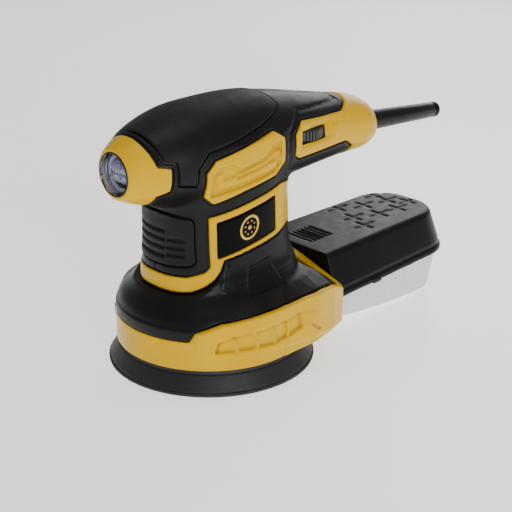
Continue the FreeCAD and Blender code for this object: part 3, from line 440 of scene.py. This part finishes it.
# ---------------------------------------------------------------- handle and neck
HANDLE = [(-67.6, 127, 14.2, 14.2, 2), (-60, 127.4, 20, 18, 2), (-45, 128.2, 28.5, 22.9, 2.1),
          (-25, 129.6, 33, 26.7, 2.2), (0, 130.2, 34, 27.9, 2.2), (25, 129.9, 32.5, 27.9, 2.2),
          (50, 128.5, 29.5, 25.7, 2.2), (75, 126.8, 26.2, 22.3, 2.2), (100, 125, 23.2, 19, 2.2),
          (118, 122.9, 20.8, 16.6, 2.1), (129, 120.9, 15, 12.9, 2)]
NECK = [(50, 5, 47.4, 34.6, 2.4), (62, 5, 47, 34, 2.4), (75, 5, 45.5, 33, 2.4), (95, 5, 45, 32.5, 2.4),
        (131, 5, 43, 31.5, 2.3)]
NOSE_END, TAIL_END, AXIS_HEIGHT, LENS_RADIUS = -67.6, 129.0, 127.0, 11.8
SCREWS = [(-38.0, 111.0), (60.0, 110.5), (88.0, 113.2), (43.5, 148.5)]

NOSE = [(-90, 80), (-57, 80), (-54, 111), (-54, 115.8), (-48.3, 119), (-48.3, 132.5), (-54.8, 133.6),
        (-57, 144.6), (-57.6, 170), (-90, 170)]
TAIL = [(105, 170), (105, 143.5), (89, 138.6), (67, 139.7), (48, 141.3), (40, 134.6), (40, 122),
        (44.7, 118.9), (64.4, 119.2), (90, 120), (99, 114.5), (96, 90), (150, 90), (150, 170)]
GRIP = [(-54, 170), (-53.6, 146), (-51.7, 135.4), (-46, 134.6), (-45.3, 122), (-34.2, 119.6),
        (-34.2, 129.6), (-26.6, 137.8), (-5, 141), (14.4, 145.2), (29.2, 149), (35, 151.5), (34, 170)]
INSERT = [(-27.4, 111.2), (-29.5, 126.5), (-23.4, 132.9), (21.5, 141.2), (29.7, 136.2), (30.4, 121.1),
          (22.9, 114.2), (-1.2, 110.4), (-21.5, 105.9)]
LABEL = [(-19.6, 74), (23.1, 81.4), (23.1, 101.9), (-19.6, 94.7)]
BAND = [(-70, 55.9), (-40, 54.1), (-34, 54.8), (-28, 57.6), (-22.5, 61.2), (-18.6, 66), (-16, 71.9),
        (23, 77.4), (36, 80.6), (60, 85), (60, 103), (30, 108), (-24.4, 98.8), (-24.4, 69.4), (-27, 67),
        (-35, 64.4), (-70, 64.2)]
FRONT = [(-70, 110.5), (-36, 99), (-32.5, 98.4), (-31, 96.2), (-31, 73), (-33, 70.6), (-70, 66)]

shell = Block((-68, -36, 50), (130, 36, 161))


def body_distance(block):
    """Distance from the whole handle and neck, blended into one form."""
    centre, half_y, half_z, power = through(HANDLE, block.x)
    handle = block.level(ring(block.y, block.z - centre, half_y, half_z, power))
    handle = smooth_max(handle, NOSE_END - block.x, 1.6)
    handle = smooth_max(handle, block.x - TAIL_END, 5.0)
    centre, half_x, half_y, power = through(NECK, block.z)
    neck = block.level(ring(block.x - centre, block.y, half_x, half_y, power))
    neck = np.maximum(neck, block.z - 135.0)
    return smooth_min(handle, neck, 7.0)


body = body_distance(shell)
def panel(region, low, high, relief=None, height=0.4, openings=(), step=None, gap=0.35):
    """One moulded panel: a region of the body's skin, with its relief and rounded edges."""
    if step:
        block = Block(low, high, step)
        depth = body_distance(block)
    else:
        block, depth = shell.part(body, low, high)
    edge = region(block)
    proud = height + (relief(block) if relief else 0.0)
    field = smooth_max(depth - proud, -(depth + SKIN), 0.5)
    field = smooth_max(field, edge + gap, 0.8)
    for opening in openings:
        field = smooth_max(field, -opening(block), 0.6)
    return block, field


def region_of(points):
    return lambda block: block.side(points)


def lens_opening(block):
    return np.maximum(np.hypot(block.y, block.z - AXIS_HEIGHT) - LENS_RADIUS - 0.1, block.x + 58.0)


def boot_opening(block):
    drop = (block.x - TAIL_END) * math.tan(math.radians(3.75))
    return np.maximum(np.hypot(block.y, block.z - 120.1 + drop) - 7.0, 112.0 - block.x)


def dial_opening(block):
    slot = block.side([(47.0, 127.0), (69.0, 127.0), (69.0, 134.4), (47.0, 134.4)])
    return np.maximum(slot, block.y + 4.0)


def tail_relief(block):
    window = step_in(block.side([(45.5, 125.0), (47.5, 136.6), (74.5, 137.0), (73.5, 126.2)]), 1.3, 0.6)
    patch = step_in(block.side([(76.0, 125.5), (76.0, 133.5), (81.6, 133.5), (81.6, 125.5)]), -0.9)
    return (window + patch) * (block.y < 0)


def insert_relief(block):
    recess = block.side([(-23.4, 110.8), (-25.1, 124.6), (-20.6, 128.3), (-12.0, 128.3), (-5.9, 124.6),
                         (13.3, 128.6), (19.0, 134.2), (26.2, 134.6), (26.6, 121.6), (21.2, 117.2),
                         (-1.0, 113.6)])
    bar = block.side([(-20.4, 114.2), (-20.4, 119.6), (-9.0, 121.4), (-8.0, 119.2), (21.8, 124.6),
                      (22.6, 119.6), (-1.0, 116.4)])
    rail = block.side([(-9.0, 122.2), (14.0, 126.2), (20.0, 130.4), (24.4, 130.4), (24.4, 127.0),
                       (16.0, 126.0), (14.4, 124.4), (-8.0, 120.6)])
    tabs = np.minimum(block.side([(-22.2, 119.4), (-22.2, 124.4), (-17.8, 125.2), (-17.8, 120.2)]),
                      block.side([(20.2, 125.2), (20.2, 129.6), (24.6, 130.2), (24.6, 125.8)]))
    return step_in(recess, 1.7) - step_in(bar, 1.3) - step_in(rail, 1.2) - step_in(tabs, 0.9, 0.3)


def grip_relief(block):
    mark = block.side([(-41.4, 123.6), (-39.8, 127.8), (-38.2, 123.6)])
    return groove(mark, 0.9, 0.35) * (mark < 1.5)


# Recessed panel that runs from the neck down on to the shoulder.
NECK_PANEL = [(-6.0, 53.0), (-1.0, 62.4), (0.3, 63.6), (15.7, 66.3), (21.0, 52.0), (21.0, 40.0), (-6.0, 40.0)]


def cover_relief(block):
    seam = block.side([(93.0, 144.0), (85.8, 143.7), (48.2, 146.0), (40.4, 140.0), (35.4, 136.7),
                       (34.6, 127.0), (38.5, 113.0)], open_line=True)
    bead = block.side([(-57.0, 160.0), (-55.4, 146.0), (-53.4, 134.4), (-47.2, 133.5), (-46.8, 120.0),
                       (-52.0, 117.0)], open_line=True)
    return groove(seam, 2.3, 0.7) + groove(bead, 2.0, -0.45)


def front_relief(block):
    lift = 0.0
    reach = 1.0 / (1.0 + np.exp((block.x + 34.6) / 0.5))
    short = reach * (np.abs(block.y + 14.0) < 5.5)
    for row in (75.0, 80.0, 85.0, 90.0):
        slant = block.z - row - 0.08 * (block.x + 40.0)
        lift = lift + groove(slant, 1.8, 1.3) * reach * (np.abs(block.y - 8.0) < 16.0)
    for row in (76.5, 80.8, 85.4):
        lift = lift + groove(block.z - row, 1.6, 1.0) * short
    return lift


def band_region(block):
    return np.maximum(block.side(BAND), -block.side(LABEL))


# Side view of all that stands above the neck band's lower edge.
ABOVE_BAND = BAND[:10] + [(140, 95), (140, 170), (-90, 170), (-90, 55.9)]


def cover_region(block):
    region = np.maximum(-block.side(NOSE), block.side(ABOVE_BAND))
    for points in (TAIL, GRIP, INSERT, LABEL, BAND, FRONT):
        region = np.maximum(region, -block.side(points))
    return region


block, field = panel(region_of(NOSE), (-70, -37, 100), (-46, 37, 160), None, 0.3, (lens_opening,))
carve("nose_shell", block, field, "yellow_shell", replaced=("nose_cap",))

block, field = panel(region_of(TAIL), (38, -37, 98), (131, 37, 160), tail_relief, 0.4,
                     (boot_opening, dial_opening), 0.55)
carve("tail_shell", block, field, "yellow_shell", replaced=("tail_cap",))

block, field = panel(region_of(GRIP), (-56, -37, 117), (37, 37, 162), grip_relief, 0.55)
carve("top_grip_moulding", block, field, "soft_grip", replaced=("top_grip",))

block, field = panel(region_of(FRONT), (-48, -37, 64), (-29, 37, 112), front_relief, 0.9, (), 0.5)
carve("front_grip_moulding", block, field, "soft_grip", replaced=("front_grip",))

block, field = panel(band_region, (-48, -37, 50), (62, 37, 114), None, 0.6)
carve("neck_band_moulding", block, field, "yellow_shell", replaced=("neck_band",))

block, field = panel(region_of(INSERT), (-31, -37, 104), (32, -18, 143), insert_relief, 0.8, (), 0.45)
carve_pair("insert_moulding", block, field, "yellow_shell", "side_insert")

block, field = panel(region_of(LABEL), (-21, -37, 72), (25, 2, 104), None, 0.1)
carve_pair("label_plate", block, field, "label", "label")


def emblem(side):
    """Ring of eight dots round an open circle, as on the pad, raised on the label."""
    fine = Block((-8, -36, 78), (12, -29, 98), 0.36)
    centre, half_x, half_y, power = through(NECK, fine.z)
    depth = fine.level(ring(fine.x - centre, fine.y, half_x, half_y, power))
    a, b = fine.x - 1.8, fine.z - 88.2 - 0.17 * (fine.x - 1.8)
    mark = np.abs(np.hypot(a, b) - 6.4) - 0.75
    mark = np.minimum(mark, np.hypot(a, b) - 1.3)
    for index in range(8):
        angle = math.pi * (index + 0.5) / 4.0
        mark = np.minimum(mark, np.hypot(a - 3.7 * math.cos(angle), b - 3.7 * math.sin(angle)) - 0.62)
    field = smooth_max(np.maximum(depth - 0.35, -(depth + 0.2)), mark, 0.15)
    points, faces = skin_of(fine, field)
    if side == "right":
        points, faces = points * (1, -1, 1), faces[:, ::-1]
    build("emblem_" + side, points, faces, EMBLEM, "machine")


emblem("left")
emblem("right")

block, depth = shell, body
edge = cover_region(block)
field = smooth_max(depth - cover_relief(block), -(depth + SKIN), 0.5)
field = smooth_max(field, edge + 0.35, 0.8)
for x, z in SCREWS:
    bore = np.maximum(np.hypot(block.x - x, block.z - z) - 3.4, 9.0 - block.y)
    field = smooth_max(field, -bore, 0.5)
field = smooth_max(field, -boot_opening(block), 0.5)
carve("cover_moulding", block, np.maximum(field, block.y), "black_shell", replaced=("cover_left",))
carve("cover_moulding_right", block, np.maximum(field, -block.y), "black_shell", replaced=("cover_right",))

# ---------------------------------------------------------------- skirt, shoulder and arch
SHOULDER = [(31.5, 0, 56.6, 56.6, 2), (38, 0, 56.3, 56.3, 2), (44, 0.8, 54.6, 52.6, 2.05),
            (50, 2.8, 50.6, 44.6, 2.2), (54, 4.4, 48.6, 38.4, 2.3), (57.5, 5, 47.8, 35.2, 2.4)]
SKIRT_RADIUS, SKIRT_WALL, SKIRT_BASE, SKIRT_TOP, MOUTH = 57.2, 2.4, 13.8, 31.5, 67.5
REAR = [(8.0, 57.2), (35.0, 55.9), (52.0, 51.6), (67.5, 44.8), (67.5, -44.8), (52.0, -51.6),
        (35.0, -55.9), (8.0, -57.2)]
EDGE_TOP = [(67.5, 36.4), (60, 40.4), (53.5, 43.3), (40, 45.2), (23, 45.6), (6.7, 45), (-7.4, 44.9),
            (-21, 43.7), (-32, 42.3), (-43.5, 37), (-45.5, 31.5)]


def edge_outline(set_back):
    """Side view of the skirt's top edge, its front drawn back by a distance."""
    top = [(x + set_back * (x < -15), z) for x, z in EDGE_TOP]
    return [(-70, 10), (80, 10), (80, 34), *top, (-70, 31.5)]


base = Block((-58, -58, 13), (68, 58, 86), 0.65)
drum = np.hypot(base.x, base.y) - SKIRT_RADIUS
plan = smooth_min(drum, base.plan(REAR), 1.5)


def skirt_relief(block):
    """Raised side panel with a long ribbed slot, a facet behind it and a short slit."""
    side_panel = block.side([(-43.2, 50), (-44.3, 33.5), (-44.7, 26.0), (-43.0, 24.0), (-39.0, 21.0),
                             (-28.0, 20.0), (-6.0, 20.2), (20.0, 19.0), (40.0, 17.0), (80, 12), (80, 50)])
    rim = [(-35.6, 25.6), (-34.4, 31.4), (-27.0, 34.4), (-3.7, 36.0), (12.0, 36.6), (18.6, 38.0), (20.4, 28.4),
           (10.0, 26.7), (-2.3, 25.6), (-16.6, 26.0)]
    slot = block.side(rim)
    ribs = np.full(slot.shape, 9.0)
    for foot, head in (((-25.4, 26.0), (-27.4, 34.4)), ((-13.6, 26.0), (-15.0, 35.2)),
                       ((-1.6, 26.0), (-3.4, 36.2)), ((9.6, 26.8), (9.0, 36.8))):
        ribs = np.minimum(ribs, block.side([foot, head], open_line=True))
    facet = block.side([(21.8, 27.6), (20.2, 37.0), (22.6, 38.6), (32.0, 33.6), (31.0, 24.6)])
    slit = block.side([(29.2, 27.6), (36.6, 22.0)], open_line=True)
    return (step_in(side_panel, -1.1, 0.3) + step_in(slot, 1.7, 0.25)
            + groove(block.side(rim + rim[:1], open_line=True), 1.7, 0.7)
            + groove(ribs, 2.8, -1.5) * (slot < 0) + step_in(facet, -0.5, 0.3) + groove(slit, 1.8, 1.3))


relief = skirt_relief(base)
edge = np.where(base.y < 0, base.side(edge_outline(0.0)), base.side(edge_outline(10.0)))
wall = smooth_max(plan - relief, -np.maximum(plan + SKIRT_WALL, SKIRT_BASE + 2.0 - base.z), 0.4)
wall = smooth_max(wall, edge, 0.9)
wall = smooth_max(wall, SKIRT_BASE - base.z, 0.7)
wall = smooth_max(wall, base.x - MOUTH, 0.7)
pad_room = np.maximum(np.hypot(base.x, base.y) - SKIRT_RADIUS + SKIRT_WALL, base.z - 20.0)
wall = np.maximum(wall, -pad_room)
mouth = np.maximum(np.maximum(np.abs(base.y) - 42.2, 50.0 - base.x), SKIRT_BASE + 2.0 - base.z)
wall = smooth_max(wall, -mouth, 0.6)

slide = np.clip((base.x - 61.0) / 6.5, 0.0, 1.0)
from_middle = np.hypot(base.y, 5.0) - 4.0
half = 47.6 - 2.8 * slide
roof = 50.9 - (11.3 + 3.2 * slide) * from_middle / half
arch = smooth_max(0.95 * (base.z - roof), np.abs(base.y) - half, 1.2)
opening = smooth_max(0.95 * (base.z - 48.8 + 14.2 * from_middle / 42.2), np.abs(base.y) - 42.2, 1.0)
hoop = smooth_max(np.maximum(arch, -opening), np.abs(base.x - 64.3) - 3.2, 0.8)
hoop = np.maximum(hoop, SKIRT_TOP - 1.0 - base.z)
skirt = smooth_min(wall, hoop, 0.8)
carve("skirt_moulding", base, skirt, "yellow_shell", replaced=("skirt",))

centre, half_x, half_y, power = through(SHOULDER, base.z)
dome = base.level(ring(base.x - centre, base.y, half_x, half_y, power))
inward = -plan
edge_height = np.interp(base.x, [x for x, _ in EDGE_TOP[::-1]], [z for _, z in EDGE_TOP[::-1]])
ramp = smooth_max(0.93 * (base.z - edge_height + 0.6 - 0.42 * inward), base.z - 50.8, 0.8)
deck = np.maximum(np.maximum(ramp, 1.2 - inward), np.maximum(-30.0 - base.x, base.x - 65.0))
centre, half_x, half_y, power = through(NECK, np.maximum(base.z, 50.0))
neck = base.level(ring(base.x - centre, base.y, half_x, half_y, power))
dome = smooth_max(dome, base.z - 56.5, 3.5)
top = smooth_min(smooth_min(dome, deck, 1.6), neck - 0.5, 11.0)


def shoulder_relief(block):
    band = step_in(block.z - 38.4, -0.55, 0.25)
    rim = NECK_PANEL + NECK_PANEL[:1]
    pocket = step_in(block.side(NECK_PANEL), 0.8, 0.3) + groove(block.side(rim, open_line=True), 1.8, 0.3)
    pocket = pocket * (np.abs(block.y) > 20.0) * (block.z > 51.0)
    sliver = step_in(block.side([(-15.5, 69.7), (-13.0, 67.8), (-19.8, 55.4), (-22.5, 57.2)]), -0.8, 0.4)
    return band * (block.x < 20.0) + pocket + sliver


lift = shoulder_relief(base)
thick = SKIRT_WALL + 5.0 * np.clip((base.z - 46.0) / 5.0, 0.0, 1.0) * (base.z < 57.0)
cover = smooth_max(top - lift, -(top + thick), 0.4)
cover = smooth_max(cover, SKIRT_TOP - base.z, 0.6)
cover = smooth_max(cover, 0.35 - base.side(ABOVE_BAND), 0.5)
under_skirt = np.maximum(edge, -plan - SKIRT_WALL - 0.4)
cover = smooth_max(cover, 0.3 - under_skirt, 0.3)
cover = np.maximum(cover, 0.2 - hoop)
carve("shoulder_moulding", base, cover, "black_shell", replaced=("shoulder",))

# ---------------------------------------------------------------- pad
pad = Block((-63, -63, -0.6), (63, 63, 12), 0.7)
radius = np.hypot(pad.x, pad.y)
holes = radius - 9.2
for index in range(8):
    angle = math.pi * index / 4.0
    holes = np.minimum(holes, np.hypot(pad.x - 32.5 * math.cos(angle), pad.y - 32.5 * math.sin(angle)) - 4.5)
sides = 0.84 * (radius - 62.2 + 0.62 * (pad.z - 1.6))
foam = smooth_max(smooth_max(sides, np.abs(pad.z - 6.7) - 4.8, 0.9), -holes, 0.6)
carve("pad_foam_moulding", pad, foam, "pad_foam", "pad", ("pad_foam",))
sheet = smooth_max(smooth_max(radius - 62.4, np.abs(pad.z - 0.95) - 0.95, 0.5), -holes, 0.4)
carve("hook_sheet", pad, sheet, "hook_face", "pad", ("hook_face",))

# ---------------------------------------------------------------- lens, rocker mark and cord boot
def arc_profile(centre, radius, half, steps):
    """Dome rings (along, radius) from the pole out to a half width."""
    rings = []
    for index in range(steps + 1):
        r = half * index / steps
        rings.append((centre - math.sqrt(radius * radius - r * r), max(r, 0.02)))
    return rings


outer = arc_profile(-40.4, 30.0, LENS_RADIUS - 0.15, 14)
inner = arc_profile(-40.4, 28.8, LENS_RADIUS - 1.3, 14)
nose_axis = Matrix.Translation((0, 0, AXIS_HEIGHT)) @ Matrix.Rotation(math.radians(90.0), 4, "Y")
rings = outer + [(-64.9, LENS_RADIUS - 0.15), (-64.7, LENS_RADIUS - 0.5), (-64.7, LENS_RADIUS - 1.3)]
lathe("lens_dome", rings + inner[::-1], 72, nose_axis, "clear_boot", replaced=("switch_boot",))
lathe("lens_rim", [(-68.2, LENS_RADIUS + 0.05), (-68.4, LENS_RADIUS + 0.25), (-68.2, LENS_RADIUS + 0.5),
                   (-67.4, LENS_RADIUS + 0.6), (-66.8, LENS_RADIUS + 0.5), (-66.8, LENS_RADIUS + 0.05)],
      72, nose_axis, "black_shell")

lathe("switch_bezel", [(-63.6, 11.0), (-63.6, 9.2), (-62.6, 8.8), (-62.2, 8.8), (-62.2, 11.0)], 72, nose_axis,
      "rocker")


def on_rocker(tilt):
    """Axis frame that stands on the rocker's round face at an angle above its front."""
    turned = Matrix.Rotation(math.radians(tilt), 4, "Y")
    return Matrix.Translation((-56.0, 0.0, AXIS_HEIGHT)) @ turned @ Matrix.Rotation(math.radians(-90.0), 4, "Y")


lathe("rocker_mark_ring", [(8.45, 1.35), (8.95, 1.35), (8.95, 1.95), (8.45, 1.95)], 32, on_rocker(22.0),
      "rocker", "rocker", material=MARK_GREY)
lathe("rocker_mark_dot", [(8.45, 0.02), (8.95, 0.02), (8.95, 0.8), (8.45, 0.9)], 32, on_rocker(-20.0),
      "rocker", "rocker", material=MARK_GREY)

boot = along_x(TAIL_END, 0.0, 120.1, 3.75)
lathe("cord_sleeve", [(-9.0, 3.6), (-9.0, 9.0), (-5.0, 9.0), (-5.0, 6.8), (0.0, 6.8), (2.0, 6.75), (35.0, 6.0),
                      (70.0, 5.25), (70.6, 5.0), (72.2, 4.95), (72.8, 5.25), (75.0, 5.2), (75.7, 4.8),
                      (76.0, 4.2), (76.0, 3.6)], 72, boot, "cord_rubber", replaced=("cord_boot",))

# ---------------------------------------------------------------- dust box
BOX_TILT, PIVOT_X, RIM, BOX_FRONT = math.radians(2.0), 75.0, 26.0, 68.3
HOOD = [(-1, 40.2, 35.2, 190, 26), (0, 40.2, 35.2, 190, 26), (5, 39.8, 34.8, 189.4, 26),
        (27, 30.4, 28, 184.5, 22)]
TRAY = [(-30, 33.4, 28.7, 181.4, 20.3), (0, 37.8, 32.8, 187.4, 24), (4, 37.8, 32.8, 187.4, 24)]
TRAY_FLOOR = [(40, 17), (68, 10.8), (82, 7.9), (99, 4.9), (120, 2.6), (140, 1.4), (160, 0.8), (220, 0.8)]


def box_frame(block):
    """Coordinates along and across the tilted box."""
    dx, dz = block.x - PIVOT_X, block.z - RIM
    along = PIVOT_X + dx * math.cos(BOX_TILT) + dz * math.sin(BOX_TILT)
    return along, -dx * math.sin(BOX_TILT) + dz * math.cos(BOX_TILT)


def box_side(block, table):
    """Distance from the tapering sides and rounded far end of the box."""
    along, up = box_frame(block)
    table = np.array(table, float)
    front, rear, end, corner = [np.interp(up, table[:, 0], table[:, i]) for i in range(1, 5)]
    slope = (front - rear) / (end - 55.0)
    half = front - slope * (along - 55.0)
    across = np.abs(block.y)
    a, b = along - (end - corner), across - (half - corner)
    rounded = np.hypot(np.maximum(a, 0.0), np.maximum(b, 0.0)) + np.minimum(np.maximum(a, b), 0.0) - corner
    return block.level(rounded), along, up


def crosses(along, across):
    """Distance from the field of plus signs on top of the hood."""
    nearest = np.full(np.broadcast(along, across).shape, 99.0)
    for x, y in ((133, 21.5), (149.5, 12.5), (168, 7), (128, 2), (145, -6), (169, 20.7), (176, -4.3), (161, -8),
                 (122.4, -13)):
        a, b = np.abs(along - x), np.abs(across - y)
        nearest = np.minimum(nearest, np.hypot(np.maximum(a - 8.0, 0.0), b))
        nearest = np.minimum(nearest, np.hypot(np.maximum(b - 6.5, 0.0), a))
    return nearest


lid = Block((67, -42, 24), (192, 42, 56))
side, along, up = box_side(lid, HOOD)
across = np.broadcast_to(lid.y, side.shape)
marks = crosses(along, across)
keep_out = np.maximum(np.abs(across) - 25.5, along - 180.0)
crown = up - 26.9
top_relief = groove(marks, 2.4, 0.7) * (along > 112.0) * (keep_out < 0)
for index in range(6):
    slant = along - 79.0 - 3.4 * index
    slot_line = np.maximum(np.abs(slant) - 0.75, np.abs(across - 2.0) - 10.0)
    top_relief = top_relief + step_in(slot_line, 1.4, 0.25)
lip = step_in(np.abs(up - 1.2) - 1.9, -0.75, 0.3)
channel = groove(up - 4.8, 1.8, 0.6)
notch = step_in(np.maximum(np.abs(along - 107.0) - 4.0, up - 3.0), -0.6, 0.4)
outer_lid = smooth_max(side - lip - channel - notch, crown - top_relief, 3.2)
outer_lid = smooth_max(outer_lid, BOX_FRONT + 0.1 - lid.x, 1.2)
inner_lid = np.maximum(np.maximum(side + 2.0, up - 24.8), BOX_FRONT + 2.0 - lid.x)
hood = smooth_max(outer_lid, -inner_lid, 0.3)
hood = smooth_max(hood, -up + 0.05 - 1.2 * (np.abs(along - 107.0) < 4.0), 0.5)
way_in = np.maximum(np.maximum(np.abs(lid.y) - 20.4, lid.z - 38.4), lid.x - 76.5)
hood = np.maximum(hood, -way_in)
carve("dust_hood", lid, hood, "hood", "hood", ("dust_box_top",))

bin_block = Block((67, -39, -0.5), (189, 39, 33))
side, along, up = box_side(bin_block, TRAY)
floor_line = np.interp(bin_block.x, [x for x, _ in TRAY_FLOOR], [z for _, z in TRAY_FLOOR])
ribs = 0.0
for position in (84.0, 103.0, 122.0, 141.0, 160.0):
    ribs = ribs + groove(along - position, 1.8, 0.7)
outer_bin = smooth_max(side - ribs, floor_line - bin_block.z, 4.0)
outer_bin = smooth_max(outer_bin, BOX_FRONT + 0.1 - bin_block.x, 1.0)
inner_bin = smooth_max(side + 1.6, floor_line + 1.6 - bin_block.z, 3.0)
inner_bin = np.maximum(inner_bin, BOX_FRONT + 1.6 - bin_block.x)
tray = smooth_max(outer_bin, -inner_bin, 0.3)
tray = smooth_max(tray, up - 3.3, 0.4)
way_in = np.maximum(np.maximum(np.abs(bin_block.y) - 20.4, 16.6 - bin_block.z), bin_block.x - 76.5)
tray = np.maximum(tray, -way_in)
carve("dust_bin", bin_block, tray, "tray", "tray", ("dust_tray",))

# ---------------------------------------------------------------- finish of the CAD nodes
for part in frame["record"]["subparts"]:
    node = frame["nodes"][part["node"]]
    node.data.materials.clear()
    node.data.materials.append(MATERIALS[part["material_slot"]])
frame["nodes"]["speed_dial"].data.materials[0] = DIAL_GREY

# ---------------------------------------------------------------- floor, light and camera
floor_finish, nodes, links, shader = new_material("studio_floor")
space = texture_space(nodes, links)
links.new(tint(nodes, links, noise(nodes, links, space, 3.0), (0.90, 0.90, 0.90), (0.93, 0.93, 0.93)),
          shader.inputs["Base Color"])
shader.inputs["Roughness"].default_value = 0.32
shader.inputs["Emission Color"].default_value = (1.0, 1.0, 1.0, 1.0)
shader.inputs["Emission Strength"].default_value = 0.9
floor = bpy.data.meshes.new("studio_floor")
floor.from_pydata([(-6, -6, 0), (6, -6, 0), (6, 6, 0), (-6, 6, 0)], [], [(0, 1, 2, 3)])
floor.materials.append(floor_finish)
floor_object = bpy.data.objects.new("studio_floor", floor)
bpy.context.scene.collection.objects.link(floor_object)

world = bpy.data.worlds.new("studio")
bpy.context.scene.world = world
world.use_nodes = True
world.node_tree.nodes["Background"].inputs["Color"].default_value = (1.0, 1.0, 1.0, 1.0)
world.node_tree.nodes["Background"].inputs["Strength"].default_value = 0.35


def area_light(name, place, target, width, height, power):
    lamp = bpy.data.lights.new(name, "AREA")
    lamp.shape = "RECTANGLE"
    lamp.size = width
    lamp.size_y = height
    lamp.energy = power
    item = bpy.data.objects.new(name, lamp)
    item.location = place
    item.rotation_euler = (Vector(target) - Vector(place)).to_track_quat("-Z", "Y").to_euler()
    bpy.context.scene.collection.objects.link(item)


area_light("key", (-0.34, -1.05, 0.50), (0.03, 0.0, 0.08), 0.45, 0.35, 5.5)
area_light("top", (0.0, 0.1, 1.3), (0.03, 0.0, 0.05), 1.0, 0.6, 4.0)
area_light("rear", (1.1, 0.6, 0.5), (0.05, 0.0, 0.08), 0.6, 0.6, 3.0)

right, up_axis = Vector((0.73135, -0.68200, 0.0)), Vector((0.25051, 0.26864, 0.93010))
back = right.cross(up_axis)
camera = bpy.data.objects.new("camera", bpy.data.cameras.new("camera"))
camera.data.sensor_width = 36.0
camera.data.lens = 84.375
camera.matrix_world = Matrix.Translation((-0.43266, -0.50371, 0.32373)) @ Matrix(
    (right, up_axis, back)).transposed().to_4x4()
bpy.context.scene.collection.objects.link(camera)
bpy.context.scene.camera = camera
